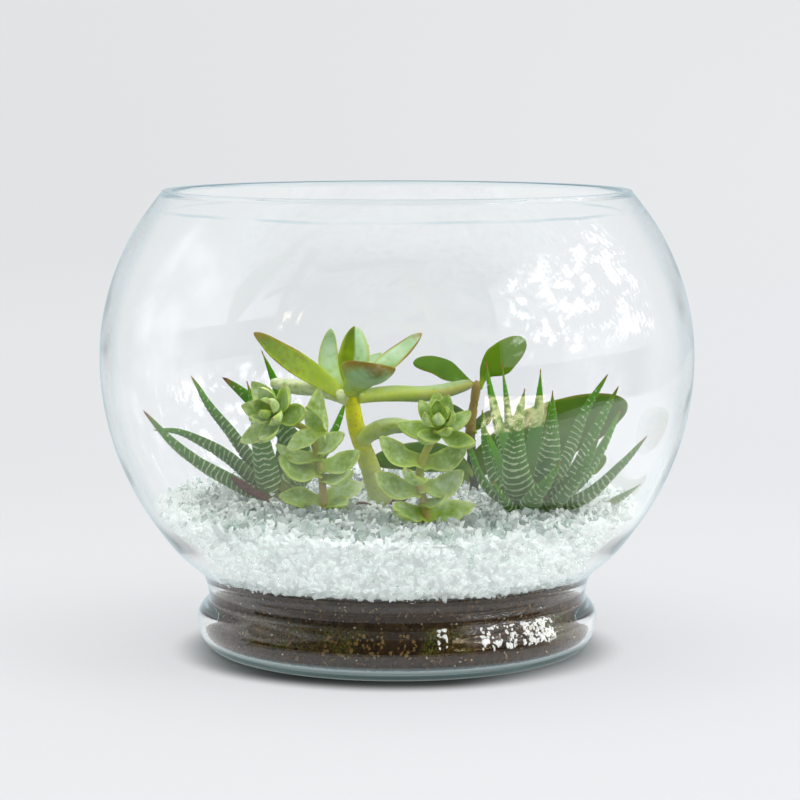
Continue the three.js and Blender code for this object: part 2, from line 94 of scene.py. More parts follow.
def lumps(points, size, seed=0):
    """Smooth noise from -1 to 1 whose lumps are about size across."""
    place = np.asarray(points, float) / size
    corner = np.floor(place).astype(np.int64)
    part = place - corner
    part = part * part * (3 - 2 * part)
    total = 0
    for dx, dy, dz in product((0, 1), repeat=3):
        weight = np.ones(len(place))
        for axis, step in enumerate((dx, dy, dz)):
            weight = weight * (part[:, axis] if step else 1 - part[:, axis])
        total = total + weight * lattice(
            corner[:, 0] + dx, corner[:, 1] + dy, corner[:, 2] + dz, seed
        )
    return total * 2 - 1


class Line:
    """A smooth line through rows of numbers, followed by the share of its length. The first
    three numbers of a row are its place, and any others are carried along with it."""

    def __init__(self, rows):
        self.rows = np.asarray(rows, float)
        steps = np.linalg.norm(np.diff(self.rows[:, :3], axis=0), axis=1)
        self.knots = np.r_[0, np.cumsum(steps)]
        self.length = self.knots[-1]
        gaps = np.diff(self.knots)
        count = len(self.rows)
        matrix, pull = np.eye(count), np.zeros_like(self.rows)
        for i in range(1, count - 1):
            matrix[i, i - 1 : i + 2] = gaps[i - 1], 2 * (gaps[i - 1] + gaps[i]), gaps[i]
            after = (self.rows[i + 1] - self.rows[i]) / gaps[i]
            pull[i] = 6 * (after - (self.rows[i] - self.rows[i - 1]) / gaps[i - 1])
        self.bend = np.linalg.solve(matrix, pull)

    def at(self, share):
        """The rows at these shares and how they change, straight on past both ends."""
        place = np.atleast_1d(np.asarray(share, float)) * self.length
        inside = np.clip(place, 0, self.length)
        k = np.clip(np.searchsorted(self.knots, inside, side="right") - 1, 0, len(self.rows) - 2)
        gap = (self.knots[k + 1] - self.knots[k])[:, None]
        after = (inside - self.knots[k])[:, None] / gap
        before = 1 - after
        row = before * self.rows[k] + after * self.rows[k + 1]
        row += gap**2 / 6 * (before**3 - before) * self.bend[k]
        row += gap**2 / 6 * (after**3 - after) * self.bend[k + 1]
        change = (self.rows[k + 1] - self.rows[k]) / gap
        change += gap / 6 * ((3 * after**2 - 1) * self.bend[k + 1])
        change -= gap / 6 * ((3 * before**2 - 1) * self.bend[k])
        return row + (place - inside)[:, None] * change, change


# ---- meshes -------------------------------------------------------------------------------
def placed(name, data):
    """A new Blender object in the scene."""
    made = bpy.data.objects.new(name, data)
    bpy.context.scene.collection.objects.link(made)
    return made


class Skin:
    """Points, faces and the marks that a material reads, gathered for one piece."""

    def __init__(self):
        self.points, self.quads, self.triangles, self.marks = [], [], [], []
        self.count = 0

    def add(self, points, quads=(), triangles=(), **marks):
        self.points.append(points)
        for faces, kept in ((quads, self.quads), (triangles, self.triangles)):
            if len(faces):
                kept.append(np.asarray(faces) + self.count)
        self.marks.append((len(points), marks))
        self.count += len(points)
        return self

    def piece(self, name, finish, slot, nodes=(), smooth=True):
        """Makes the Blender object, on the body, in the place of its CAD nodes."""
        points = np.vstack(self.points)
        quads = np.vstack(self.quads) if self.quads else np.zeros((0, 4), int)
        triangles = np.vstack(self.triangles) if self.triangles else np.zeros((0, 3), int)
        mesh = bpy.data.meshes.new(name)
        mesh.vertices.add(len(points))
        mesh.vertices.foreach_set("co", (points * MM).astype(np.float32).ravel())
        mesh.loops.add(quads.size + triangles.size)
        corners = np.r_[quads.ravel(), triangles.ravel()].astype(np.int32)
        mesh.loops.foreach_set("vertex_index", corners)
        mesh.polygons.add(len(quads) + len(triangles))
        starts = np.r_[
            np.arange(len(quads)) * 4, quads.size + np.arange(len(triangles)) * 3
        ]
        mesh.polygons.foreach_set("loop_start", starts.astype(np.int32))
        mesh.update(calc_edges=True)
        mesh.polygons.foreach_set("use_smooth", np.full(len(mesh.polygons), smooth))
        for mark in sorted({key for _, marks in self.marks for key in marks}):
            values = np.concatenate(
                [np.broadcast_to(marks.get(mark, 0.0), count) for count, marks in self.marks]
            )
            layer = mesh.attributes.new(mark, "FLOAT", "POINT")
            layer.data.foreach_set("value", values.astype(np.float32))
        mesh.materials.append(finish)
        made = placed(name, mesh)
        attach(made, BODY)
        if nodes:
            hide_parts(*nodes)


def hoop_faces(hoops, around):
    """Faces between hoops of points, and fans to the two end points that follow them."""
    i, k = np.meshgrid(np.arange(hoops - 1), np.arange(around), indexing="ij")
    here, there = i * around + k, i * around + (k + 1) % around
    quads = np.stack([here, there, there + around, here + around], -1).reshape(-1, 4)
    k = np.arange(around)
    first = np.stack([(k + 1) % around, k, np.full(around, hoops * around)], -1)
    base = (hoops - 1) * around
    last = np.stack([base + k, base + (k + 1) % around, np.full(around, hoops * around + 1)], -1)
    return quads, np.vstack([first, last])


def hoop_solid(hoops, start, end):
    """Points and outward faces of a closed solid drawn as hoops between two end points."""
    count, around = hoops.shape[:2]
    points = np.vstack([hoops.reshape(-1, 3), start, end])
    quads, triangles = hoop_faces(count, around)
    fan = points[np.vstack([quads[:, :3], quads[:, [0, 2, 3]], triangles])]
    volume = np.einsum("ij,ij->i", fan[:, 0], np.cross(fan[:, 1], fan[:, 2])).sum()
    if volume < 0:
        quads, triangles = quads[:, ::-1], triangles[:, ::-1]
    return points, quads, triangles


# ---- what the CAD model says ----------------------------------------------------------------
def cad_mesh(node):
    """A CAD node's points, each once, and its triangles."""
    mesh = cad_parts[node].data
    mesh.calc_loop_triangles()
    points = np.zeros(len(mesh.vertices) * 3)
    mesh.vertices.foreach_get("co", points)
    points = points.reshape(-1, 3) / MM
    corners = np.zeros(len(mesh.loop_triangles) * 3, np.int32)
    mesh.loop_triangles.foreach_get("vertices", corners)
    _, first, where = np.unique(
        np.round(points, 2), axis=0, return_index=True, return_inverse=True
    )
    return points[first], where.ravel()[corners].reshape(-1, 3)


def beside(count, triangles):
    """Which points an edge joins to each point."""
    near = [set() for _ in range(count)]
    for a, b, c in triangles:
        near[a] |= {b, c}
        near[b] |= {a, c}
        near[c] |= {a, b}
    return near


def cad_rings(node, carrier):
    """A leaf's or stem's two end points and the rings between, from the end nearer the carrier."""
    points, triangles = cad_mesh(node)
    near = beside(len(points), triangles)
    ends = sorted(range(len(points)), key=lambda i: len(near[i]))[-2:]
    ends.sort(key=lambda i: np.linalg.norm(carrier - points[i], axis=1).min())
    reached, edge, rings = {ends[0]}, [ends[0]], []
    while edge:
        edge = sorted({j for i in edge for j in near[i]} - reached)
        reached |= set(edge)
        if len(edge) > 1:
            rings.append(points[edge])
    middles = np.array([ring.mean(0) for ring in rings])
    ordered = []
    for i, ring in enumerate(rings):
        along = unit(middles[min(i + 1, len(rings) - 1)] - middles[max(i - 1, 0)])
        first = unit(ring[0] - middles[i] - along * np.dot(ring[0] - middles[i], along))
        second = np.cross(along, first)
        turn = np.arctan2((ring - middles[i]) @ second, (ring - middles[i]) @ first)
        ordered.append(ring[np.argsort(turn)])
    return points[ends[0]], ordered, points[ends[1]]


def cad_leaf(node, carrier):
    """A leaf's midline with the way its upper side faces, its width and its thickness."""
    foot, rings, tip = cad_rings(node, carrier)
    rows, widths, depths, votes, side = [], [], [], 0.0, None
    for ring in rings:
        half = len(ring) // 2
        spans = np.linalg.norm(ring[:half] - ring[half : 2 * half], axis=1)
        aligned = np.abs(unit(ring[:half] - ring[half : 2 * half]) @ side) if rows else spans
        k = int(np.argmax(aligned))
        side = unit(ring[k] - ring[k + half])
        middle = (ring[k] + ring[k + half]) / 2
        sides = [ring[(k + half // 2) % len(ring)], ring[(k - half // 2) % len(ring)]]
        sides.sort(key=lambda p: np.linalg.norm(p - middle))
        up = unit(sides[0] - sides[1])
        if rows:
            same = np.sign(np.dot(up, rows[-1][3:])) or 1
            votes += same
            up = up * same
        rows.append(np.r_[middle, up])
        widths.append(spans[k])
        depths.append(np.linalg.norm(sides[0] - sides[1]))
    rows = np.array([np.r_[foot, rows[0][3:]], *rows, np.r_[tip, rows[-1][3:]]])
    if votes < 0:
        rows[:, 3:] *= -1
    return Line(rows), max(widths), max(depths)


def cad_stalk(node):
    """A stem's midline, upwards, with its radius as a fourth number."""
    foot, rings, tip = cad_rings(node, np.array([[0.0, 0.0, -1000.0]]))
    rows = [
        np.r_[ring.mean(0), np.linalg.norm(ring - ring.mean(0), axis=1).mean()] for ring in rings
    ]
    ends = [np.r_[foot, rows[0][3]], np.r_[tip, rows[-1][3]]]
    return Line(np.array([ends[0], *rows, ends[1]]))


def named_like(start):
    return sorted(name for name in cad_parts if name.startswith(start))


# ---- leaves and stems -----------------------------------------------------------------------
def taper(share):
    """Half width along a leaf, as a share of its widest: the haworthias' long taper."""
    full = 0.84 + 0.16 * np.sin(np.clip(share / 0.26, 0, 1) * math.pi / 2)
    return full * (1 - np.clip(share, 0, 1) ** 1.45) ** 0.95


def outline(foot, low, high, late, blunt):
    """Half width along a leaf that is a share, foot, of its full width at first, widens between
    two shares of its length, low and high, and closes later and more bluntly the more late is
    above 1 and blunt below it."""

    def width(share):
        full = foot + (1 - foot) * eased(share, low, high)
        return full * (1 - np.clip(share, 0, 1) ** late) ** blunt

    return width


# A leaf's section: how its thickness is shared above and below the margins, how sharp the
# margin is on either side (0.5 is round, 1 is sharp), and how far its middle sinks below them.
KINDS = {
    "spear": dict(outline=taper, above=0.26, below=0.74, edges=(0.55, 0.52), sink=0.05),
    "spoon": dict(outline=outline(0.44, -0.05, 0.6, 2.9, 0.62), above=0.24, below=0.66,
                  edges=(0.8, 0.66), sink=0.09),
    "boat": dict(outline=outline(0.5, -0.05, 0.5, 2.5, 0.8), above=0.16, below=0.62,
                 edges=(0.9, 0.72), sink=0.15),
    "cup": dict(outline=outline(0.4, 0.0, 0.62, 5, 0.5), above=0.1, below=0.8,
                edges=(0.8, 0.62), sink=0.12),
    "bar": dict(outline=outline(0.82, 0.0, 0.35, 3.6, 0.5), above=0.46, below=0.54,
                edges=(0.56, 0.52), sink=0.0),
    "oval": dict(outline=outline(0.16, -0.02, 0.5, 3.6, 0.5), above=0.42, below=0.5,
                 edges=(0.7, 0.62), sink=0.05),
}


def leaf_skin(skin, line, width, depth, kind, seed, hoops=44, around=28, foot=3.0,
              wobble=0.12, banded=0.0, spike=0.0, **marks):
    """Adds one leaf to a skin, from a little inside its stalk to its tip."""
    form = KINDS[kind]
    share = np.linspace(-foot / line.length, 1, hoops + 1)[:-1]
    share = np.r_[share, 1 - 0.25 * (1 - share[-1])]
    rows, change = line.at(share)
    middle, along = rows[:, :3], unit(change[:, :3])
    up = unit(rows[:, 3:6] - along * np.sum(rows[:, 3:6] * along, axis=1, keepdims=True))
    side = np.cross(along, up)
    wide = form["outline"](share)
    half = np.maximum(wide * width / 2, spike)[:, None]
    thick = np.maximum(np.sqrt(wide) * depth, spike * 1.6)[:, None]
    turn = 2 * math.pi * np.arange(around) / around
    across, lift = np.cos(turn)[None, :], np.sin(turn)[None, :]
    edge = np.where(lift > 0, form["edges"][0], form["edges"][1])
    full = (1 - across**2).clip(0) ** edge
    level = np.where(lift > 0, form["above"], -form["below"]) * full * thick
    level = level - form["sink"] * 2 * half * (1 - across**2)
    hoop = (
        middle[:, None, :]
        + side[:, None, :] * (half * across)[..., None]
        + up[:, None, :] * level[..., None]
    )
    out = unit(
        side[:, None, :] * across[..., None]
        + up[:, None, :] * (lift * np.ones_like(level))[..., None]
    )
    run = np.broadcast_to(share[:, None] * line.length, level.shape)
    under = eased(-lift, -0.25, 0.35) * np.ones_like(level)
    flat = hoop.reshape(-1, 3)
    swell = wobble * (lumps(flat, 7, seed) + 0.4 * lumps(flat, 2.6, seed + 1))
    band = np.zeros(level.size)
    if banded:
        band = white_bands(run, across * np.ones_like(level), under, share, seed).ravel()
        band = band * banded
        swell = swell + BAND_RISE * band
    swell = swell * np.minimum(1, np.repeat(half.ravel(), around) / 1.5)
    flat = flat + out.reshape(-1, 3) * swell[:, None]
    start = middle[0] - along[0] * 0.5
    end = line.at(1)[0][0, :3] + along[-1] * spike * 3
    points, quads, triangles = hoop_solid(flat.reshape(level.shape + (3,)), start, end)
    ends = [0.0, 1.0]
    skin.add(
        points,
        quads,
        triangles,
        along=np.r_[np.repeat(share.clip(0, 1), around), ends],
        across=np.r_[np.tile(np.cos(turn), len(share)), 0, 0],
        under=np.r_[under.ravel(), 0.5, 0.5],
        band=np.r_[band, 0, 0],
        **marks,
    )
    return skin


def white_bands(run, across, under, share, seed):
    """Where a haworthia's raised white bands lie: arcs round its back, dots towards its tip."""
    bow = 0.42 * (1 - across**2)
    grain = np.stack([run / 9, across * 1.7, np.full_like(run, seed)], -1).reshape(-1, 3)
    drift = 0.3 * lumps(grain, 1.0, seed).reshape(run.shape)
    phase = run / BAND_PITCH + bow + drift
    row = np.floor(phase)
    ridge = eased(np.cos(2 * math.pi * (phase - row - 0.5)), 0.58, 0.88)
    place = np.stack([row * 7.3, across * 2.6 + row * 3.1, under * 3 + seed], -1).reshape(-1, 3)
    dots = lumps(place * 1.35, 1.0, seed + 5).reshape(run.shape)
    gaps = eased(dots, -0.62, -0.3)
    tip = eased(share, 0.35, 0.85)[:, None] * np.ones_like(run)
    spots = eased(np.cos(2 * math.pi * (across * 2.2 + row * 0.5)), 0.0, 0.6)
    broken = gaps * (1 - tip * (1 - spots))
    margin = eased(np.abs(across), 0.8, 0.97)
    faces = np.maximum(under, 0.9 * margin)
    fade = eased(share, -0.03, 0.05) * (1 - eased(share, 0.88, 0.95))
    return ridge * broken * faces * fade[:, None]


def stem_skin(skin, line, seed, hoops=70, around=24, wobble=0.25, rings=0.0, **marks):
    """Adds a stem to a skin, from just under the crushed glass to its tip."""
    shares = np.linspace(0, 1, 400)
    start = shares[np.argmax(line.at(shares)[0][:, 2] > STEM_START)]
    share = np.linspace(start, 0.995, hoops)
    rows, change = line.at(share)
    along = unit(change[:, :3])
    side = unit(np.cross(along, [0.3, 1.0, 0.2]))
    up = np.cross(side, along)
    turn = 2 * math.pi * np.arange(around) / around
    across, lift = np.cos(turn)[None, :, None], np.sin(turn)[None, :, None]
    out = side[:, None, :] * across + up[:, None, :] * lift
    radius = rows[:, 3] * (1 - 0.5 * eased(share, 0.97, 1.0))
    run = share * line.length
    scar = eased(np.cos(2 * math.pi * (run / 8.5 + 0.2 * np.sin(run))), 0.93, 0.99)
    points = rows[:, None, :3] + out * radius[:, None, None]
    flat = points.reshape(-1, 3)
    swell = wobble * (lumps(flat, 4.5, seed) + 0.5 * lumps(flat, 1.6, seed + 1))
    swell = swell - rings * np.repeat(scar, around)
    flat = flat + out.reshape(-1, 3) * swell[:, None]
    points, quads, triangles = hoop_solid(
        flat.reshape(points.shape), rows[0, :3], line.at(1)[0][0, :3]
    )
    skin.add(
        points, quads, triangles,
        along=np.r_[np.repeat(share, around), 0, 1],
        scar=np.r_[np.repeat(scar, around), 0, 0],
        **marks,
    )
    return skin


def drawn_line(points, up):
    """A line for a leaf that the CAD model doesn't hold, with a fixed upper side."""
    rows = [np.r_[point, up] for point in np.asarray(points, float)]
    return Line(rows)


# ---- materials ------------------------------------------------------------------------------
class Field:
    """A value or colour that changes over a surface, with arithmetic for values."""

    def __init__(self, paint, socket):
        self.paint, self.socket = paint, socket

    def __add__(self, other):
        return self.paint.maths("ADD", self, other)

    def __sub__(self, other):
        return self.paint.maths("SUBTRACT", self, other)

    def __rsub__(self, other):
        return self.paint.maths("SUBTRACT", other, self)

    def __mul__(self, other):
        return self.paint.maths("MULTIPLY", self, other)

    __radd__ = __add__
    __rmul__ = __mul__


class Paint:
    """A material under way."""

    def __init__(self, name):
        self.material = bpy.data.materials.new(name)
        self.material.use_nodes = True
        self.tree = self.material.node_tree
        self.tree.nodes.clear()
        self.place = self.node("ShaderNodeTexCoord", output="Object")

    def node(self, kind, settings=None, values=None, output=0):
        """Adds a node: its settings first, then the values or links of its sockets."""
        made = self.tree.nodes.new(kind)
        for key, value in (settings or {}).items():
            if key == "stops":
                ramp = made.color_ramp
                while len(ramp.elements) < len(value):
                    ramp.elements.new(0.5)
                for stop, (at, colour) in zip(ramp.elements, value, strict=True):
                    stop.position, stop.color = at, (*colour, 1)
            else:
                setattr(made, key, value)
        for key, value in (values or {}).items():
            if isinstance(value, Field):
                self.tree.links.new(value.socket, made.inputs[key])
            elif isinstance(value, tuple) and len(value) == 3 and made.inputs[key].type == "RGBA":
                made.inputs[key].default_value = (*value, 1)
            else:
                made.inputs[key].default_value = value
        return Field(self, made.outputs[output])

    def maths(self, operation, first, second):
        return self.node("ShaderNodeMath", {"operation": operation}, {0: first, 1: second})

    def without_sign(self, value):
        return self.maths("ABSOLUTE", value, 0.0)

    def mark(self, name):
        return self.node("ShaderNodeAttribute", {"attribute_name": name}, output="Fac")

    def noise(self, size, detail=2.0, uneven=0.5):
        """Noise from 0 to 1 whose lumps are about size millimetres."""
        values = {"Vector": self.place, "Scale": 1 / (size * MM)}
        values.update(Detail=detail, Roughness=uneven)
        return self.node("ShaderNodeTexNoise", values=values)

    def cells(self, size):
        values = {"Vector": self.place, "Scale": 1 / (size * MM)}
        return self.node("ShaderNodeTexVoronoi", values=values, output="Distance")

    def along_axis(self, axis, place=None):
        """One of the three numbers of a place, which is the object's own unless given."""
        return self.node("ShaderNodeSeparateXYZ", values={0: place or self.place}, output=axis)

    def ray(self, kind):
        """What the light path says of the ray in hand."""
        return self.node("ShaderNodeLightPath", output=kind)

    def tones(self, share, stops):
        return self.node("ShaderNodeValToRGB", {"stops": stops}, {"Fac": share})

    def between(self, value, low, high):
        """0 below low, 1 above high, and smooth between."""
        return self.node(
            "ShaderNodeMapRange",
            {"interpolation_type": "SMOOTHSTEP"},
            {"Value": value, "From Min": low, "From Max": high},
        )

    def mix(self, first, second, share):
        """One colour laid over another."""
        return self.node(
            "ShaderNodeMix", {"data_type": "RGBA"}, {0: share, 6: first, 7: second}, output=2
        )

    def bump(self, height, strength, distance):
        values = {"Height": height, "Strength": strength, "Distance": distance * MM}
        return self.node("ShaderNodeBump", values=values)

    def surface(self, **values):
        """A Principled surface. A socket's name is written with _ for its spaces."""
        named = {key.replace("_", " "): value for key, value in values.items()}
        return self.node("ShaderNodeBsdfPrincipled", values=named)

    def flesh(self, colour, rough, relief, depth, sink, share, shine):
        """A living surface that light enters: how deep, which colours sink how far, what share
        of it does, and how much the rest shines."""
        return self.surface(
            Base_Color=colour, Roughness=rough, Normal=relief, Subsurface_Weight=share,
            Subsurface_Radius=sink, Subsurface_Scale=depth * MM, Specular_IOR_Level=shine,
        )

    def clear(self):
        return self.node("ShaderNodeBsdfTransparent")

    def shine(self, colour, strength):
        return self.node("ShaderNodeEmission", values={"Color": colour, "Strength": strength})

    def either(self, share, first, second):
        """The first surface where share is 0, and the second where it is 1."""
        return self.node("ShaderNodeMixShader", values={0: share, 1: first, 2: second})

    def done(self, surface, volume=None):
        values = {"Surface": surface}
        if volume is not None:
            values["Volume"] = volume
        sockets = self.tree.nodes.new("ShaderNodeOutputMaterial").inputs
        for key, value in values.items():
            self.tree.links.new(value.socket, sockets[key])
        return self.material


def haworthia_finish():
    """Dark green with chalky raised bands, fresher towards a dry orange tip."""
    paint = Paint("haworthia_leaf")
    along, band, tone = paint.mark("along"), paint.mark("band"), paint.mark("tone")
    cloud, fleck = paint.noise(8), paint.noise(1.3, 3)
    shade = along + (cloud - 0.5) * 0.08 + tone * 0.03
    green = paint.tones(shade, [
        (0.0, (0.24, 0.25, 0.07)), (0.09, (0.15, 0.25, 0.05)), (0.28, (0.095, 0.22, 0.050)),
        (0.62, (0.085, 0.24, 0.02)), (0.84, (0.09, 0.31, 0.006)), (0.94, (0.16, 0.27, 0.010)),
        (0.975, (0.34, 0.17, 0.03)), (1.0, (0.22, 0.08, 0.03)),
    ])
    green = paint.mix(green, (0.08, 0.19, 0.03), paint.between(fleck, 0.55, 0.8) * 0.35)
    chalk = paint.tones(cloud, [(0.3, (0.38, 0.52, 0.27)), (0.75, (0.66, 0.74, 0.50))])
    colour = paint.mix(green, chalk, paint.between(band, 0.18, 0.62) * 0.92)
    rough = paint.between(band, 0.2, 0.6) * 0.3 + 0.36 + (fleck - 0.5) * 0.1
    relief = paint.bump(fleck, 0.25, 0.12)
    return paint.done(paint.flesh(colour, rough, relief, 1.0, (0.3, 1.0, 0.1), 0.08, 0.12))


def stonecrop_finish():
    """Waxy leaf: a blue-green bloom over yellow-green, browned along its margins and tip."""
    paint = Paint("stonecrop_leaf")
    along, across = paint.mark("along"), paint.mark("across")
    bloom, blush, tone = paint.mark("bloom"), paint.mark("blush"), paint.mark("tone")
    cloud, streak, fleck = paint.noise(9), paint.noise(3.2, 3), paint.noise(0.9, 2)
    fresh = paint.tones(along + (cloud - 0.5) * 0.45 + (streak - 0.5) * 0.3, [
        (0.0, (0.62, 0.70, 0.10)), (0.25, (0.38, 0.50, 0.02)), (0.6, (0.19, 0.30, 0.004)),
        (0.9, (0.10, 0.17, 0.003)),
    ])
    waxed = paint.tones(cloud, [
        (0.3, (0.26, 0.46, 0.19)), (0.5, (0.44, 0.64, 0.36)), (0.75, (0.60, 0.78, 0.54)),
    ])
    bloom = bloom * (1 - paint.mark("halved") * paint.between(across, -0.1, 0.1))
    colour = paint.mix(fresh, waxed, bloom * paint.between(streak + along * 0.4, 0.25, 0.75))
    edge = paint.between(paint.without_sign(across), 0.66, 0.98)
    colour = paint.mix(colour, (0.50, 0.60, 0.04), edge * 0.6)
    browned = paint.mark("browned")
    sunny = 1 - browned * (1 - paint.between(across * browned, -0.15, 0.5))
    brown = edge * paint.between(along + (streak - 0.5) * 0.5, 0.3, 0.7) * blush * sunny
    tip = paint.between(along + (streak - 0.5) * 0.2, 0.86, 1.0) * blush
    colour = paint.mix(colour, (0.30, 0.14, 0.01), paint.maths("MAXIMUM", brown, tip) * 0.85)
    colour = paint.mix(colour, (0.62, 0.72, 0.50), paint.between(fleck, 0.62, 0.72) * bloom * 0.3)
    rusty = paint.between(streak + (fleck - 0.5) * 0.5, 0.46, 0.66) * paint.between(along, 0.25, 0.6)
    colour = paint.mix(colour, (0.22, 0.17, 0.008), rusty * browned * 0.55)
    colour = paint.mix(colour, (0.12, 0.25, 0.008), paint.between(tone, 0.0, 1.0) * 0.3)
    pale = paint.mark("pale") * paint.between(streak, 0.2, 0.6)
    colour = paint.mix(colour, (0.84, 0.90, 0.56), pale)
    rough, relief = (streak - 0.5) * 0.2 + 0.34, paint.bump(streak, 0.2, 0.3)
    return paint.done(paint.flesh(colour, rough, relief, 1.6, (0.6, 1.0, 0.1), 0.15, 0.1))


def sedum_finish():
    """Grey-green waxy leaf with a paler, yellower edge."""
    paint = Paint("sedum_leaf")
    along, across = paint.mark("along"), paint.mark("across")
    tone, under = paint.mark("tone"), paint.mark("under")
    cloud, streak = paint.noise(5), paint.noise(1.8, 3)
    shade = (cloud - 0.5) * 1.5 + (streak - 0.5) * 0.9 + tone * 0.25 + 0.58
    colour = paint.tones(shade, [
        (0.0, (0.25, 0.40, 0.05)), (0.4, (0.42, 0.58, 0.15)), (0.75, (0.62, 0.78, 0.36)),
        (1.0, (0.80, 0.91, 0.62)),
    ])
    colour = paint.mix(colour, (0.12, 0.28, 0.01), (1 - under) * (1 - along) * 0.5)
    edge = paint.between(paint.without_sign(across) + (streak - 0.5) * 0.12, 0.7, 0.97)
    colour = paint.mix(colour, (0.70, 0.82, 0.14), edge * 0.6)
    foot = paint.between(along, 0.3, 0.02)
    colour = paint.mix(colour, (0.50, 0.64, 0.08), foot * 0.6)
    tip = paint.between(along + (streak - 0.5) * 0.1, 0.93, 1.0)
    colour = paint.mix(colour, (0.50, 0.36, 0.14), tip * 0.6)
    rough, relief = (streak - 0.5) * 0.2 + 0.42, paint.bump(streak, 0.2, 0.2)
    return paint.done(paint.flesh(colour, rough, relief, 1.4, (0.6, 1.0, 0.1), 0.15, 0.1))


def jade_finish():
    """Glossy green leaf, some leaves darker than others as their tone sets."""
    paint = Paint("jade_leaf")
    along, across, tone = paint.mark("along"), paint.mark("across"), paint.mark("tone")
    cloud, fleck = paint.noise(10), paint.noise(0.8, 2)
    colour = paint.tones((cloud - 0.5) * 0.5 + tone * 0.5 + 0.5, [
        (0.0, (0.032, 0.085, 0.003)), (0.5, (0.085, 0.20, 0.003)), (1.0, (0.17, 0.33, 0.003)),
    ])
    edge = paint.between(paint.without_sign(across), 0.86, 1.0)
    colour = paint.mix(colour, (0.26, 0.36, 0.02), edge * 0.5)
    brown = edge * paint.between(along + (cloud - 0.5) * 0.6, 0.55, 0.9)
    colour = paint.mix(colour, (0.28, 0.12, 0.03), brown * 0.6)
    colour = paint.mix(colour, (0.30, 0.40, 0.03), paint.between(along, 0.16, 0.0) * 0.7)
    colour = paint.mix(colour, (0.26, 0.38, 0.05), paint.between(fleck, 0.66, 0.74) * 0.35)
    rough, relief = (fleck - 0.5) * 0.1 + 0.2, paint.bump(cloud, 0.15, 0.5)
    return paint.done(paint.flesh(colour, rough, relief, 1.2, (0.4, 1.0, 0.1), 0.1, 0.25))


def stalk_finish(name, young, old, scarred, amount, change=(0.3, 0.85)):
    """A stem from its younger to its older colour, with brown scars where leaves have dropped."""
    paint = Paint(name)
    along, scar = paint.mark("along"), paint.mark("scar")
    cloud, fleck = paint.noise(5, 3), paint.noise(1.1, 2)
    colour = paint.mix(old, young, paint.between(along + (cloud - 0.5) * 0.3, *change))
    spots = paint.between(fleck + (cloud - 0.5) * 0.3, 0.62, 0.72)
    colour = paint.mix(colour, scarred, paint.maths("MAXIMUM", spots, scar * 0.2) * amount)
    rough, relief = (cloud - 0.5) * 0.2 + 0.55, paint.bump(fleck, 0.35, 0.25)
    return paint.done(paint.flesh(colour, rough, relief, 1.5, (0.8, 1.0, 0.4), 0.1, 0.5))


def glass_finish():
    """Clear glass with a faint blue-green depth. Lamps shine through it. Where it is marked, and
    along its silhouettes, it is painted over with a glow: pale teal lines of painted highlight at the
    rim and round the inside, and dark teal painted shade round the bottom of the foot.
    """
    paint = Paint("clear_glass")
    glass = paint.surface(
        Base_Color=(1.0, 1.0, 1.0), Roughness=0.0, IOR=1.5, Transmission_Weight=1.0
    )
    # Painted light and shade: the glow colour laid over the glass, pale teal for painted edge
    # highlights and dark teal for painted shade where the base mark is set.
    painted_edge_colour = paint.mix((0.47, 0.64, 0.71), (0.05, 0.10, 0.095), paint.mark("base"))
    facing = paint.node("ShaderNodeLayerWeight", values={"Blend": 0.5}, output="Facing")
    # Where the glass is painted over: its marked rim top, foot and inner line, and a painted
    # highlight along its silhouettes where the surface turns away from view.
    rim = paint.maths("MAXIMUM", paint.mark("lip"), paint.between(facing, 0.70, 0.96) * 0.5)
    glass = paint.either(rim, glass, paint.shine(painted_edge_colour, 1.0))
    depth = paint.node(
        "ShaderNodeVolumeAbsorption", values={"Color": (0.52, 0.78, 0.86, 1), "Density": 11.0}
    )
    return paint.done(paint.either(paint.ray("Is Shadow Ray"), glass, paint.clear()), depth)


UNLIT = (0.0, 0.0, 0.0)
PAINTED_GLOW = (0.95, 1.0, 0.975)   # painted light: a glow painted onto crushed glass in place of daylight that has come through it


def chip_finish():
    """Tumbled crushed glass: some of it clear, most of it whitened by its own facets and glowing with
    painted light.
    """
    paint = Paint("crushed_glass")
    clear, tint = paint.mark("clear"), paint.mark("tint")
    grain = paint.noise(0.9, 3)
    milky = paint.tones(tint, [
        (0.0, (0.80, 0.86, 0.835)), (0.35, (0.86, 0.905, 0.885)), (0.8, (0.91, 0.94, 0.925)),
        (1.0, (0.94, 0.96, 0.95)),
    ])
    frosted = paint.surface(
        Base_Color=milky, Roughness=(grain - 0.5) * 0.14 + 0.26, IOR=1.5,
        Normal=paint.bump(grain, 0.15, 0.2), Transmission_Weight=0.08, Subsurface_Weight=0.6,
        Subsurface_Radius=(1.0, 1.0, 1.0), Subsurface_Scale=3 * MM,
        # Painted light: the frosted chips glow, as strongly as their mark sets.
        Emission_Color=paint.mix(UNLIT, PAINTED_GLOW, paint.mark("passed")),
        Emission_Strength=0.262,
    )
    shard = paint.surface(
        Base_Color=(0.80, 0.93, 0.87), Roughness=0.03, IOR=1.5, Transmission_Weight=1.0
    )
    return paint.done(paint.either(clear, frosted, shard))


def depths_finish():
    """The crushed glass that lies too deep to make out one piece from another, painted in shade
    across the middle of its top and glowing with painted light elsewhere.
    """
    paint = Paint("crushed_glass_depths")
    grain, cloud = paint.cells(3.2), paint.noise(12)
    colour = paint.tones(grain + (cloud - 0.5) * 0.4, [
        (0.0, (0.98, 1.0, 0.99)), (0.5, (0.92, 0.965, 0.95)), (1.0, (0.80, 0.88, 0.86)),
    ])
    # Painted light and shade: where the mark is 0 the colour is greyed green and unlit, painted
    # shade. Where it is 1 it keeps its pale colour and glows.
    passed = paint.mark("passed")
    colour = paint.mix(paint.mix(colour, (0.36, 0.47, 0.39), 0.45), colour, passed)
    return paint.done(paint.surface(
        Base_Color=colour, Roughness=0.3, Normal=paint.bump(grain, 0.6, 1.2),
        Emission_Color=paint.mix(UNLIT, PAINTED_GLOW, passed), Emission_Strength=0.17,
    ))


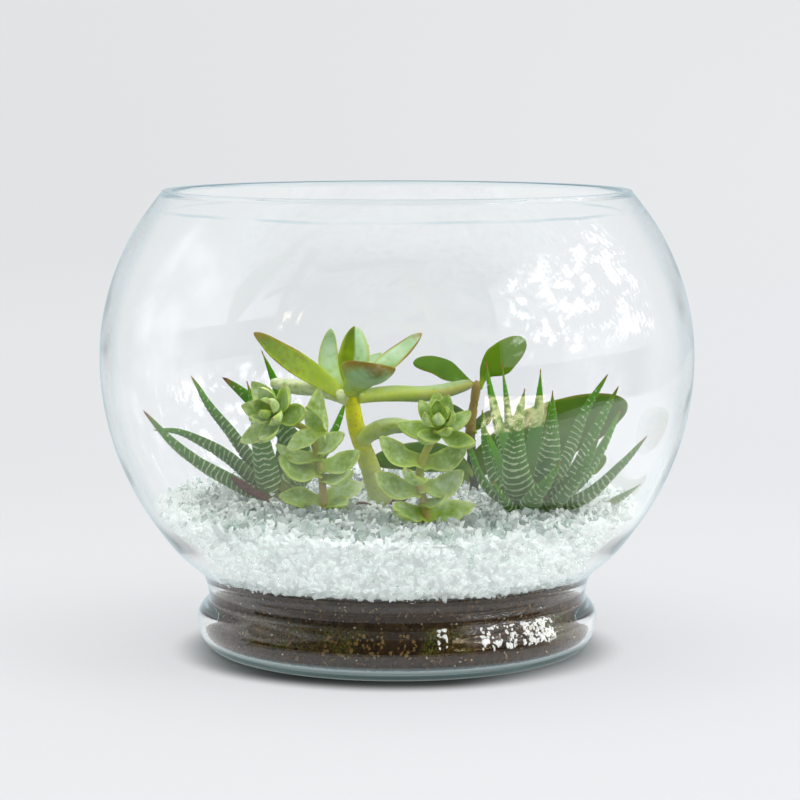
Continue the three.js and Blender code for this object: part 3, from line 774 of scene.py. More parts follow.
def soil_finish():
    """Moist potting soil, from black through brown to pale grains, greened in places."""
    paint = Paint("potting_soil")
    tint, moss = paint.mark("tint"), paint.mark("moss")
    grain, cloud = paint.noise(0.8, 4, 0.6), paint.noise(7)
    shade = tint + (grain - 0.5) * 0.3 + (cloud - 0.5) * 0.12
    colour = paint.tones(shade, [
        (0.0, (0.006, 0.003, 0.001)), (0.3, (0.045, 0.021, 0.004)), (0.55, (0.13, 0.062, 0.012)),
        (0.75, (0.30, 0.16, 0.04)), (0.9, (0.50, 0.34, 0.16)), (1.0, (0.85, 0.78, 0.64)),
    ])
    growth = paint.mix((0.21, 0.14, 0.012), (0.17, 0.21, 0.012), paint.between(cloud, 0.45, 0.65))
    colour = paint.mix(colour, growth, moss * paint.between(grain, 0.42, 0.64))
    return paint.done(paint.surface(
        Base_Color=colour, Roughness=(grain - 0.5) * 0.5 + 0.62, Specular_IOR_Level=0.2,
        Normal=paint.bump(grain, 0.6, 0.5),
    ))


def grain_finish():
    """Mineral grains, white or golden; the white ones glow with painted light."""
    paint = Paint("painted_glint_grains")
    cloud, gold = paint.noise(2.5, 2), paint.mark("gold")
    white = paint.mix((0.98, 0.98, 0.95), (0.75, 0.74, 0.66), paint.between(cloud, 0.5, 0.7))
    colour = paint.mix(white, (0.34, 0.20, 0.05), gold)
    # The white grains glow with painted light.
    return paint.done(paint.surface(
        Base_Color=colour, Roughness=0.4, Normal=paint.bump(cloud, 0.3, 0.2),
        Emission_Color=paint.mix(white, UNLIT, gold), Emission_Strength=0.36,
    ))


def dry_leaf_finish():
    """Papery brown remains of an old leaf."""
    paint = Paint("dry_sheath")
    streak = paint.noise(1.5, 3)
    colour = paint.tones(streak, [(0.25, (0.055, 0.022, 0.014)), (0.7, (0.17, 0.07, 0.045))])
    return paint.done(paint.surface(
        Base_Color=colour, Roughness=0.7, Normal=paint.bump(streak, 0.5, 0.4)
    ))


# ---- the bowl -------------------------------------------------------------------------------
def bowl_lines():
    """The glass in radius and height where the CAD bowl crosses one half plane: its outer line
    from the underside to the rim, and its inner line from the inside floor to the rim."""
    points, triangles = cad_mesh("glass_bowl")
    near = beside(len(points), triangles)
    half = {i for i, p in enumerate(points) if abs(p[1]) < 0.05 and p[0] > 1}
    place = max((i for i in half if points[i][2] < 0.01), key=lambda i: points[i][0])
    walk, seen = [place], {place}
    while True:
        ahead = [i for i in near[place] & half - seen if points[i][2] > 0.01]
        if not ahead:
            break
        place = min(ahead, key=lambda i: np.linalg.norm(points[i] - points[place]))
        walk.append(place)
        seen.add(place)
    line = points[walk][:, [0, 2]]
    top = int(np.argmax(line[:, 1] > line[:, 1].max() - 0.01))
    return line[:top], line[: top + 1 : -1]


def fine(line, count):
    """The same line in radius and height with many more points, smoothed."""
    rows = np.insert(line, 1, 0, axis=1)
    return Line(rows).at(np.linspace(0, 1, count))[0][:, [0, 2]]


def without_band(line):
    """The inner line carried straight on to the rim, past the CAD model's thicker band."""
    even = line[line[:, 1] < BAND_START]
    height = RIM_HEIGHT - RIM_ROUNDING
    rise = (even[-1] - even[-2]) / (even[-1, 1] - even[-2, 1])
    past = (even[-2] - even[-3]) / (even[-2, 1] - even[-3, 1])
    step = height - even[-1, 1]
    end = even[-1] + rise * step + (rise - past) * [1, 0] * step * 0.75
    return np.vstack([even, end])


# The waist, drawn tighter than the CAD model's, in radius and height.
WAIST = np.array([
    [93.8, 18.0], [92.5, 20.4], [90.8, 22.6], [89.2, 24.2], [88.6, 25.1], [88.65, 26.1],
    [89.0, 28.0], [89.45, 30.2], [89.9, 32.2],
])


def with_waist(line):
    """The outer line with its own waist between the foot and the body."""
    below, above = WAIST[0, 1] - 1, WAIST[-1, 1] + 1.3
    return np.vstack([line[line[:, 1] < below], WAIST, line[line[:, 1] > above]])


RIM_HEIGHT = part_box("glass_bowl")[1].z / MM
OUTER_LINE, INNER_LINE = bowl_lines()
OUTER_LINE = with_waist(OUTER_LINE)
INNER_LINE = without_band(INNER_LINE)
OUTER_FINE, INNER_FINE = fine(OUTER_LINE, 130), fine(INNER_LINE, 110)
RING_FINE = np.arange(RING_HEIGHT - 2.4, RING_HEIGHT + 2.4, 0.4)
RING_FINE = np.column_stack([np.interp(RING_FINE, INNER_FINE[:, 1], INNER_FINE[:, 0]), RING_FINE])
INNER_FINE = np.vstack([INNER_FINE, RING_FINE])
INNER_FINE = INNER_FINE[np.argsort(INNER_FINE[:, 1])]


def inner_radius(height):
    """The inside radius of the glass at a height."""
    return np.interp(height, INNER_FINE[:, 1], INNER_FINE[:, 0])


def turned(profile, around):
    """Hoops round the Z axis, one for each point of a profile in radius and height."""
    turn = 2 * math.pi * np.arange(around) / around
    ways = np.stack([np.cos(turn), np.sin(turn)], -1)
    flat = profile[:, None, :1] * ways[None]
    tall = np.broadcast_to(profile[:, None, 1:], (len(profile), around, 1))
    return np.concatenate([flat, tall], -1)


def make_bowl():
    """The glass as one turned solid: from the middle of the underside up the outside, over the
    rim, and down the inside to the middle of the floor. Only the inside ripples."""
    edge_out, edge_in = OUTER_FINE[-1], INNER_FINE[-1]
    round_off = RIM_HEIGHT - edge_out[1]
    arc = np.linspace(0, math.pi / 2, 6)[1:]
    lean = np.stack([1 - np.cos(arc), np.sin(arc)], -1) * round_off
    over = edge_out + lean * [-1, 1]
    back = (edge_in + lean * [1, 1])[::-1]
    under = np.array([[20, 0.75], [45, 0.7], [66, 0.55], [74, 0.2], [78, 0.02]])
    floor = np.array([[80, 4.0], [60, 4.05], [35, 4.15], [15, 4.2]])
    flat_rim = np.linspace(over[-1], back[0], 4)[1:-1]
    profile = np.vstack([under, OUTER_FINE, over, flat_rim, back, INNER_FINE[::-1], floor])
    hoops = turned(profile, BOWL_AROUND)
    inside = len(under) + len(OUTER_FINE) + len(over) + len(flat_rim) + len(back)
    flat = hoops.reshape(-1, 3)
    ripple = 0.11 * lumps(flat * [1, 1, 1.6], 26, 3) + 0.04 * lumps(flat, 11, 4)
    weight = np.zeros(len(profile))
    weight[inside : inside + len(INNER_FINE)] = 1
    weight *= eased(profile[:, 1], 40, 75)
    out = unit(flat * [1, 1, 0])
    flat = flat + out * (ripple * np.repeat(weight, BOWL_AROUND))[:, None]
    points, quads, triangles = hoop_solid(flat.reshape(hoops.shape), [0, 0, 0.8], [0, 0, 4.2])
    height = flat[:, 2]
    # Painted highlight along the top of the rim, weaker at the front than at the back.
    lip = eased(height, RIM_HEIGHT - 1.3, RIM_HEIGHT - 0.2)
    lip *= 0.12 + 0.38 * eased(flat[:, 1], -70, 30)
    outside = np.arange(len(flat)) < (len(under) + len(OUTER_FINE)) * BOWL_AROUND
    # Painted shade: a dark band round the bottom of the foot's outside.
    base = (1 - eased(height, 4.5, 8.0)) * outside
    base *= np.linalg.norm(flat[:, :2], axis=1) > FOOT_INNER
    # Painted reflection: a faint wavy line of light round the inside of the glass.
    wave = RING_HEIGHT + 0.5 * lumps(flat, 30, 5) + 0.25 * lumps(flat, 12, 6)
    ring = eased(1 - np.abs(height - wave) / 0.9, 0, 1) * eased(lumps(flat, 24, 7), -0.7, 0.5)
    ring *= np.repeat(weight, BOWL_AROUND)
    lip = np.append(np.maximum.reduce([lip, 0.6 * base, 0.7 * ring]), [0, 0])
    Skin().add(points, quads, triangles, lip=lip, base=np.append(base, [0, 0])).piece(
        "footed_glass_bowl", glass_finish(), "clear_glass", ["glass_bowl"]
    )


# ---- crushed glass and soil -----------------------------------------------------------------
def shard_shapes(count, seed, flatness=(0.5, 0.95)):
    """Small angular solids, about one across from middle to corner."""
    random = chance(seed)
    shapes = []
    for _ in range(count):
        body = bmesh.new()
        size = np.array([1.0, random.uniform(*flatness), random.uniform(*flatness) * 0.9])
        for point in unit(random.normal(size=(random.integers(9, 13), 3))) * size:
            body.verts.new(point * random.uniform(0.85, 1.05))
        bmesh.ops.convex_hull(body, input=body.verts)
        loose = [v for v in body.verts if not v.link_faces]
        bmesh.ops.delete(body, geom=loose, context="VERTS")
        bmesh.ops.triangulate(body, faces=body.faces)
        bmesh.ops.recalc_face_normals(body, faces=body.faces)
        body.verts.index_update()
        points = np.array([v.co[:] for v in body.verts])
        triangles = np.array([[v.index for v in face.verts] for face in body.faces])
        shapes.append((points, triangles))
        body.free()
    return shapes


def turns(count, random):
    """Random turns as matrices."""
    a, b, c, d = unit(random.normal(size=(count, 4))).T
    return np.stack([
        np.stack([1 - 2 * (c * c + d * d), 2 * (b * c - a * d), 2 * (b * d + a * c)], -1),
        np.stack([2 * (b * c + a * d), 1 - 2 * (b * b + d * d), 2 * (c * d - a * b)], -1),
        np.stack([2 * (b * d - a * c), 2 * (c * d + a * b), 1 - 2 * (b * b + c * c)], -1),
    ], 1)


def scattered(skin, shapes, places, sizes, random, room=0.15, **marks):
    """Adds copies of the shapes, each turned at random, kept clear of the glass."""
    kinds = random.integers(len(shapes), size=len(places))
    matrices = turns(len(places), random)
    for kind, (points, triangles) in enumerate(shapes):
        mine = np.flatnonzero(kinds == kind)
        if not len(mine):
            continue
        moved = np.einsum("nij,vj->nvi", matrices[mine], points)
        moved = moved * sizes[mine][:, None, None] + places[mine][:, None, :]
        flat = moved.reshape(-1, 3)
        reach = np.linalg.norm(flat[:, :2], axis=1)
        limit = inner_radius(flat[:, 2]) - room
        flat[:, :2] *= np.minimum(1, limit / np.maximum(reach, 1e-6))[:, None]
        faces = triangles[None] + len(points) * np.arange(len(mine))[:, None, None]
        own = {key: np.repeat(value[mine], len(points)) for key, value in marks.items()}
        skin.add(flat, triangles=faces.reshape(-1, 3), **own)
    return skin


def tree_of(*nodes):
    """A search tree over some CAD nodes."""
    points, triangles, count = [], [], 0
    for node in nodes:
        own, faces = cad_mesh(node)
        points.append(own)
        triangles.append(faces + count)
        count += len(own)
    return BVHTree.FromPolygons(np.vstack(points).tolist(), np.vstack(triangles).tolist())


def bed_heights(spots):
    """How high the crushed glass reaches at each spot, from the CAD model."""
    tree = tree_of("crushed_glass_bed")
    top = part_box("crushed_glass_bed")[1].z / MM
    heights = []
    for x, y in spots:
        hit = tree.ray_cast((float(x), float(y), 300.0), (0.0, 0.0, -1.0))[0]
        heights.append(hit.z if hit is not None and hit.z > top - 8 else top - 2.5)
    return np.array(heights)


def grid_spots(radius, pitch, random):
    """Places about a pitch apart over a disc, none in line."""
    steps = np.arange(-radius, radius + pitch, pitch)
    x, y = np.meshgrid(steps, steps * 0.9)
    x = x + (np.arange(len(x)) % 2)[:, None] * pitch / 2
    spots = np.stack([x.ravel(), y.ravel()], -1)
    spots = spots + random.uniform(-0.42, 0.42, spots.shape) * pitch
    return spots[np.linalg.norm(spots, axis=1) < radius]


def ring_place(turn, reach, height):
    """Places round the Z axis."""
    x, y = np.cos(turn) * reach, np.sin(turn) * reach
    return np.stack(np.broadcast_arrays(x, y, height), -1)


class Heap:
    """Chips that lie on the bed, kept clear of the plants."""

    def __init__(self):
        self.plants = tree_of(*[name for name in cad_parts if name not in
                                ("glass_bowl", "soil", "crushed_glass_bed")])
        self.places, self.sizes, self.clears = [], [], []

    def free(self, places, sizes, room):
        """Which chips stand further from every plant than room, a share of their size."""
        gaps = np.array([self.plants.find_nearest(tuple(place))[3] for place in places])
        return gaps > sizes * room

    def add(self, places, sizes, clears):
        self.places.append(places)
        self.sizes.append(sizes)
        self.clears.append(clears)

    def all(self):
        return np.vstack(self.places), np.concatenate(self.sizes), np.concatenate(self.clears)


def make_top_chips(shapes, finish, random):
    """Two layers over the whole bed, small chips heaped on them and large clear ones in front."""
    heap = Heap()
    radius = float(inner_radius(BED_SIDE)) - 1.0
    for sink, clearness in ((0.0, 1.0), (2.4, 0.5)):
        spots = grid_spots(radius, CHIP_PITCH, random)
        heights = bed_heights(spots)
        size = random.uniform(*CHIP_SIZE, len(spots)) * random.choice([0.8, 1.0, 1.15], len(spots))
        rise = random.normal(0.0, 0.8, len(spots)) - 0.4
        place = np.column_stack([spots, heights + rise - sink])
        keep = heap.free(place, size, 0.45)
        inward = 1 - np.linalg.norm(spots[keep], axis=1) / radius
        clear = (random.uniform(0, 1, keep.sum()) < 0.26 + 0.26 * inward) * clearness
        heap.add(place[keep], size[keep], clear)

    upper = heap.places[0]
    heaped = random.uniform(0, 1, len(upper)) < HEAPED_SHARE
    pile = upper[heaped] + [0, 0, 1] * random.uniform(1.5, 3.4, (heaped.sum(), 1))
    pile[:, :2] += random.uniform(-1.4, 1.4, (len(pile), 2))
    size = random.uniform(1.3, 2.6, len(pile))
    keep = heap.free(pile, size, 0.6) & (np.linalg.norm(pile[:, :2], axis=1) < radius - 2)
    heap.add(pile[keep], size[keep], (random.uniform(0, 1, keep.sum()) < 0.45) * 1.0)

    turn = random.uniform(-2.5, -0.7, LARGE_CHIPS)
    large = ring_place(turn, random.uniform(56, 112, LARGE_CHIPS), 0.0)
    large[:, 2] = bed_heights(large[:, :2]) + random.uniform(0.5, 2.6, LARGE_CHIPS)
    size = random.uniform(3.0, 5.2, LARGE_CHIPS)
    keep = heap.free(large, size, 0.6)
    heap.add(large[keep], size[keep], np.ones(keep.sum()))

    places, sizes, clears = heap.all()
    clears = clears * random.uniform(0.5, 0.95, len(clears))
    reach = np.linalg.norm(places[:, :2], axis=1)
    # Painted light: how strongly each chip glows, more towards the glass.
    skin = scattered(
        Skin(), shapes, places, sizes, random, clear=clears,
        tint=random.uniform(0, 1, len(clears)), passed=0.16 + 0.42 * eased(reach, 84, 108),
    )
    skin.piece("crushed_glass_top", finish, "crushed_glass", smooth=False)


def make_side_chips(shapes, finish, random):
    """Chips against the glass, in rows down to a ragged edge where the soil begins."""
    skin = Skin()
    for depth, pitch in ((1.9, 3.4), (4.0, 3.7)):
        for row, height in enumerate(np.arange(SOIL_TOP - 1.0, BED_SIDE + 1.5, pitch * 0.9)):
            reach = float(inner_radius(height)) - depth
            count = int(2 * math.pi * reach / pitch)
            turn = 2 * math.pi * (np.arange(count) + 0.5 * (row % 2)) / count
            turn = turn + random.uniform(-0.4, 0.4, count) * pitch / reach
            level = height + random.uniform(-0.45, 0.45, count) * pitch
            rim = ring_place(turn, 90, 0.0)
            ragged = 1.7 * lumps(rim, 14, 8) + 0.9 * lumps(rim, 4, 9)
            keep = level > SOIL_TOP + ragged + 0.6
            turn, level = turn[keep], level[keep]
            count = len(turn)
            reach = inner_radius(level) - depth + random.uniform(-0.5, 0.5, count)
            size = random.uniform(1.5, 3.0, count) * random.choice([0.8, 1.0, 1.2], count)
            clear = (random.uniform(0, 1, count) < 0.14) * random.uniform(0.3, 0.8, count)
            # Painted light: how strongly each chip glows, less next to the soil.
            scattered(skin, shapes, ring_place(turn, reach, level), size, random,
                      clear=clear, tint=random.uniform(0.2, 1, count),
                      passed=0.5 + 0.35 * eased(level, SOIL_TOP, SOIL_TOP + 7))
    skin.piece("crushed_glass_side", finish, "crushed_glass", smooth=False)


def make_chip_depths():
    """The lumpy core of the bed, behind the chips that can be told apart."""
    heights = np.linspace(SOIL_TOP + 2.0, BED_SIDE - 1.0, 10)
    side = np.column_stack([inner_radius(heights) - 3.0, heights])
    floor = SOIL_TOP + 1.5
    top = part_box("crushed_glass_bed")[1].z / MM - 5.0
    cover = np.column_stack([np.linspace(side[-1, 0] - 2, 8, 12), np.full(12, top)])
    under = np.column_stack([np.linspace(8, side[0, 0] - 2, 5), np.full(5, floor)])
    hoops = turned(np.vstack([under, side, cover]), 180)
    flat = hoops.reshape(-1, 3)
    flat = flat + unit(flat - [0, 0, 50]) * (0.8 * lumps(flat, 5, 21) - 0.4)[:, None]
    points, quads, triangles = hoop_solid(flat.reshape(hoops.shape), [0, 0, floor], [0, 0, top])
    reach = np.linalg.norm(points[:, :2], axis=1)
    # Painted light over the core's sides and lower part; 0 across the middle of its top, where
    # depths_finish paints shade instead.
    passed = np.maximum(1 - eased(points[:, 2], top - 3, top - 1), eased(reach, 84, 104))
    Skin().add(points, quads, triangles, passed=passed).piece(
        "crushed_glass_depths", depths_finish(), "crushed_glass", ["crushed_glass_bed"]
    )


def make_crushed_glass():
    random = chance(11)
    finish = chip_finish()
    shapes = shard_shapes(26, 12)
    make_top_chips(shapes, finish, random)
    make_side_chips(shapes, finish, random)
    make_chip_depths()


def make_soil():
    random = chance(31)
    finish = soil_finish()
    height = np.linspace(SOIL_FLOOR + 0.15, SOIL_TOP, 40)
    side = np.column_stack([inner_radius(height) - 0.35, height])
    under = np.array([[radius, SOIL_FLOOR] for radius in (8, 40, 70, 80)])
    cover = np.column_stack([np.linspace(side[-1, 0] - 3, 8, 8), np.full(8, SOIL_TOP + 1.0)])
    profile = np.vstack([under, side, cover])
    hoops = turned(profile, SOIL_AROUND)
    flat = hoops.reshape(-1, 3)
    grain = np.abs(lumps(flat, 2.6, 31)) + 0.6 * np.abs(lumps(flat, 1.2, 32))
    inward = np.repeat(np.r_[np.zeros(len(under)), np.ones(len(side)), np.zeros(len(cover))],
                       SOIL_AROUND)
    flat = flat - unit(flat * [1, 1, 0]) * (1.5 * grain * inward)[:, None]
    edge = eased(flat[:, 2], SOIL_TOP - 4, SOIL_TOP)
    flat[:, 2] += edge * (1.3 * lumps(flat, 12, 33) + 0.8 * lumps(flat, 4, 34))
    points, quads, triangles = hoop_solid(
        flat.reshape(hoops.shape), [0, 0, SOIL_FLOOR], [0, 0, SOIL_TOP]
    )
    tint = np.r_[0.30 + 0.16 * lumps(flat, 3.2, 35), 0.3, 0.3]
    skin = Skin().add(points, quads, triangles, tint=tint, moss=np.r_[moss_at(flat), 0, 0])
    skin.piece("potting_soil", finish, "potting_soil", ["soil"])

    skin = Skin()
    crumbs = shard_shapes(10, 41, (0.6, 0.95))
    slivers = shard_shapes(8, 42, (0.16, 0.42))
    for shapes, count, small, large, shades in (
        (crumbs, 3400, 0.45, 1.25, (0.14, 0.62)),
        (slivers, 520, 1.2, 3.0, (0.45, 0.86)),
        (crumbs, 240, 0.35, 0.9, (0.86, 1.0)),
    ):
        turn = random.uniform(0, 2 * math.pi, count)
        level = random.uniform(5.4, SOIL_TOP + 1.2, count)
        size = random.uniform(small, large, count)
        place = ring_place(turn, inner_radius(level) - 0.25 - 0.45 * size, level)
        scattered(skin, shapes, place, size, random, room=0.3,
                  tint=random.uniform(*shades, count), moss=moss_at(place) * 0.7)
    skin.piece("soil_crumbs", finish, "potting_soil", smooth=False)
    make_painted_glint_grains(crumbs)


def make_painted_glint_grains(grains):
    """White grains that glow with painted light, set together against the glass where they stand in
    for a painted highlight of a window on the foot, and golden ones beside them.
    """
    random = chance(61)
    skin = Skin()
    for first, last, count, small, large, gold in (
        (-78, -75.5, 16, 0.7, 1.5, 0.0), (-65, -59, 34, 0.7, 1.5, 0.0),
        (-57, -53, 26, 0.7, 1.4, 0.0), (-51, -38, 150, 0.6, 1.5, 0.0),
        (-112, -84, 60, 0.6, 1.5, 1.0),
    ):
        level = np.sort(random.uniform(14, 23, count)) - 2.0 * gold
        turn = np.radians(random.uniform(first, last, count))
        size = random.uniform(small, large, count)
        place = ring_place(turn, inner_radius(level) - 0.3 - 0.45 * size, level)
        scattered(skin, grains, place, size, random, room=0.25, gold=np.full(count, gold))
    skin.piece("painted_glint_grains", grain_finish(), "potting_soil", smooth=False)


def moss_at(points):
    """Where damp soil has greened against the glass."""
    band = eased(points[:, 2], 11, 15) * (1 - eased(points[:, 2], 22, 26))
    turn = np.degrees(np.arctan2(points[:, 1], points[:, 0]))
    patch = 1.2 * np.exp(-(((turn + 32) / 6) ** 2))
    return band * eased(patch + lumps(points, 22, 51) + 0.4 * lumps(points, 6, 52), -0.05, 0.5)


# ---- the plants -----------------------------------------------------------------------------
def foot_of(stalk):
    """Where a stalk comes out of the crushed glass."""
    rows = stalk.at(np.linspace(0, 1, 400))[0]
    return rows[np.argmax(rows[:, 2] > PLANT_LIFT), :3]


def make_stalk(node, name, finish, slot, seed, **looks):
    line = cad_stalk(node)
    stem_skin(Skin(), line, seed, **looks).piece(name, finish, slot, [node])
    return line


def make_leaves(plant, carrier, finish, slot, kind, looks, seed, **common):
    """One piece for every leaf that the CAD plant has. looks holds what sets some leaves apart."""
    random = chance(seed)
    for node in named_like(plant + "_leaf"):
        line, width, depth = cad_leaf(node, cad_mesh(carrier)[0])
        own = {"kind": kind, "tone": random.uniform(-1, 1), **common}
        own.update(looks.get(node.removeprefix(plant + "_"), {}))
        grow, face, lift = own.pop("grow", 1.0), own.pop("face", None), own.pop("lift", 0.0)
        width, depth = own.pop("size", (width * grow, depth))
        line = Line(own.pop("path", line.rows))
        rows = line.rows.copy()
        rows[:, 2] += lift * (1 - line.knots / line.length) ** 1.5
        if face:
            rows[:, 3:] = face
        line = Line(rows)
        if own.get("banded"):
            own["hoops"] = int(line.length / 0.45)
        leaf_skin(Skin(), line, width, depth, seed=seed + random.integers(900), **own).piece(
            f"{node}_blade", finish, slot, [node]
        )


def make_extra(name, finish, slot, origin, path, up, size, kind, seed, **looks):
    """A leaf that the CAD model leaves out, drawn from the foot of its plant."""
    line = drawn_line(np.asarray(path, float) + origin, up)
    if looks.get("banded"):
        looks["hoops"] = int(line.length / 0.5)
    leaf_skin(Skin(), line, *size, kind, seed, **looks).piece(name, finish, slot)


# Leaves that the CAD model leaves out: name, path from the plant's foot, the way the upper
# side faces, width and thickness.
HAWORTHIA_EXTRAS = {
    "left": [
        ("young_leaf", [(3, -3, -3), (8, -9, -1), (14, -17, 3)], (0, 0.5, 1), (8, 5)),
    ],
    "right": [
        ("young_leaf", [(-8, -6, -2), (-15, -13, 6), (-20, -17, 15)], (0.3, 0.7, 0.7), (7, 5)),
        ("thin_leaf", [(-6, 8, 4), (-11, 24, 32), (-14, 37, 62)], (0, 1, 0.3), (7, 5)),
        ("back_leaf", [(3, 8, 2), (9, 28, 22), (12, 42, 40)], (0, -1, 0.7), (10, 7)),
        ("fallen_leaf", [(36, 14, 0), (43, 16, 3.2), (51, 18, 7)], (0, -0.3, 1), (4.5, 3)),
    ],
}
SEDUM_EXTRAS = {
    "left": [
        ("low_leaf", [(1, -1, 14), (7, -6, 15), (13, -11, 19)], (0, -0.7, 1), (12, 4.5)),
        ("back_leaf", [(-4, -1, 24), (-13, -1, 24), (-22, -3, 30)], (0, -0.7, 1), (11, 4.5)),
        ("side_leaf", [(-3, -3, 35), (-9, -7, 33), (-17, -10, 28)], (-0.2, -0.9, 0.6), (11, 4.2)),
        ("upper_leaf", [(-2, -3, 36), (-5, -8, 41), (-8, -11, 48)], (-0.2, -1, 0.1), (9, 4.0)),
    ],
    "right": [
        ("low_leaf", [(0, -1, 8), (5, -6, 9), (9, -11, 13)], (0, -0.7, 1), (11, 4.5)),
    ],
}
# The jade's leaves have a tone as well, darker below 0.
JADE_EXTRAS = [
    ("lower_left_leaf", [(-1, 1, 28), (-6, 5, 33), (-11, 10, 38)], (0.4, -0.5, 1), (10, 3.5), -0.9),
    ("lower_right_leaf", [(0, 2, 27), (4, 6, 31), (8, 10, 35)], (-0.3, -0.5, 1), (9, 3.5), -0.8),
    ("front_leaf", [(-1, -2, 5), (-7, -9, 11), (-26, -11, 15), (-50, -12, 13)], (0.1, -1, 0.5),
     (16, 4), -0.6),
    ("far_leaf", [(40, 8, 0), (52, 14, 4), (66, 20, 12)], (0, -1, 0.6), (13, 4), 0.2),
]


def make_haworthias():
    finish, slot = haworthia_finish(), "striped_leaf"
    crown = stalk_finish(
        "dry_crown", (0.15, 0.19, 0.07), (0.15, 0.08, 0.05), (0.07, 0.035, 0.025), 0.8
    )
    banded = dict(banded=1.0, spike=0.28, around=40)
    for side, seed in (("left", 100), ("right", 200)):
        plant = f"{side}_haworthia"
        stalk = make_stalk(f"{plant}_crown", f"{plant}_heart", crown, "dry_crown", seed, wobble=0.5)
        make_leaves(plant, f"{plant}_crown", finish, slot, "spear", {}, seed, grow=1.08, **banded)
        for k, (name, path, up, size) in enumerate(HAWORTHIA_EXTRAS[side]):
            make_extra(f"{plant}_{name}", finish, slot, foot_of(stalk), path, up, size, "spear",
                       seed + 50 + k, tone=0.2 * k, **banded)


def make_dry_sheaths():
    finish = dry_leaf_finish()
    left = foot_of(cad_stalk("left_haworthia_crown"))
    middle = foot_of(cad_stalk("tall_stonecrop_stem"))
    for k, (name, foot, path, up, size, kind) in enumerate((
        ("left_haworthia_dry_sheath", left, [(-5, -9, -1), (-12, -13, 5), (-20, -14, 11)],
         (-0.3, -1, 0.4), (4.6, 1.8), "oval"),
        ("left_haworthia_dry_scale", left, [(-2, -10, -2), (-6, -13, 2), (-11, -14, 4)],
         (0, -1, 0.3), (3.6, 1.6), "oval"),
        ("tall_stonecrop_dry_stub", middle, [(5, -5, -3), (9, -8, 2), (14, -10, 5)],
         (0, -0.5, 1), (6, 4.5), "bar"),
        ("tall_stonecrop_fallen_scrap", middle, [(-13, -14, 0), (-9, -15, 1.6), (-4, -15, 0.5)],
         (0, 0, 1), (3.5, 1.4), "oval"),
    )):
        make_extra(name, finish, "dry_crown", foot, path, up, size, kind, 71 + k)


# Two stonecrop leaves with paths of their own. Each row is a place and the way the upper side
# faces there. The front leaf reaches forward and curls up.
FRONT_LEAF = [
    (-20.0, -16.5, 126.5, -0.1, 0.3, 1.0), (-16.0, -27.0, 133.0, -0.1, 0.6, 0.8),
    (-11.5, -37.0, 137.2, 0.1, 0.35, 0.95), (-8.5, -46.0, 138.6, 0.1, 0.3, 1.0),
]
BEHIND_FRONT_LEAF = [
    (-20.0, -16.0, 123.0, -0.3, -0.3, 1.0), (-13.5, -23.0, 129.0, -0.3, -0.3, 1.0),
    (-6.5, -30.0, 135.5, -0.3, -0.3, 1.0),
]


def make_stonecrop():
    finish, slot = stonecrop_finish(), "stonecrop_leaf"
    plant = "tall_stonecrop"
    bark = stalk_finish(
        "fleshy_stem", (0.84, 0.80, 0.016), (0.46, 0.56, 0.20), (0.30, 0.16, 0.02), 0.7,
        (0.45, 0.95),
    )
    stalk = make_stalk(
        f"{plant}_stem", f"{plant}_stalk", bark, "fleshy_stem", 300, around=32, rings=0.1
    )
    wide = dict(hoops=52, around=32)
    make_leaves(plant, f"{plant}_stem", finish, slot, "spoon", {
        "leaf_left": dict(bloom=0.12, blush=0.9, browned=1.0, grow=1.12, **wide),
        "leaf_back_left": dict(bloom=0.8, blush=0.15),
        "leaf_upright": dict(bloom=0.9, blush=0.1, halved=1.0, **wide),
        "leaf_right": dict(bloom=0.9, blush=1.0, **wide),
        "leaf_front": dict(kind="cup", bloom=1.0, blush=1.0, path=FRONT_LEAF, size=(26, 6.5), **wide),
        "leaf_front_right": dict(bloom=0.8, blush=0.5, path=BEHIND_FRONT_LEAF, size=(10, 4)),
        "leaf_low_left": dict(kind="bar", bloom=0.75, blush=0.0, lift=5.5, pale=0.9),
        "leaf_low_right": dict(kind="bar", bloom=0.35, blush=0.5, lift=7.0, pale=0.15),
        "leaf_short": dict(kind="bar", bloom=0.4, blush=0.0, pale=0.35),
    }, 310, grow=1.04)
    origin = foot_of(stalk)
    for name, path, width in (
        ("bud_leaf", [(-15, 3, 56), (-12, 9, 64), (-6, 15, 72)], 6),
        ("inner_leaf", [(-14, 1, 56), (-8, 7, 62), (0, 16, 68)], 8),
    ):
        make_extra(f"{plant}_{name}", finish, slot, origin, path, (-0.3, -1, 0.5), (width, 3),
                   "spoon", 340, bloom=0.9, blush=0.3)


def make_head(node, centre, axis, reach, width, finish, seed):
    """A branch tip: leaves in a tight spiral, wide open outside and folded over its middle."""
    random = chance(seed)
    up = unit(axis)
    first = unit(np.cross(up, [0, 1, 0.3]))
    second = np.cross(up, first)
    skin, count = Skin(), 13
    for k in range(count):
        inwards = k / (count - 1)
        turn = k * GOLDEN_TURN + random.uniform(-0.12, 0.12)
        out = first * math.cos(turn) + second * math.sin(turn)
        rise = 0.02 + 1.42 * inwards**0.9
        length = reach * (1 - 0.62 * inwards) * random.uniform(0.94, 1.06)
        way = out * math.cos(rise) + up * math.sin(rise)
        curl = -out * math.sin(rise) + up * math.cos(rise)
        start = centre + up * (7.5 * inwards - 4.5) + out * 1.6
        path = [start, start + way * length * 0.5 - curl * 0.05 * length,
                start + way * length + curl * 0.07 * length]
        leaf_skin(skin, drawn_line(path, curl), width * (1 - 0.5 * inwards),
                  4.6 * (1 - 0.35 * inwards), "boat", seed + k, hoops=38, around=26, foot=1.5,
                  tone=random.uniform(-1, 1))
    skin.piece(f"{node}_leaves", finish, "sedum_leaf", [node])


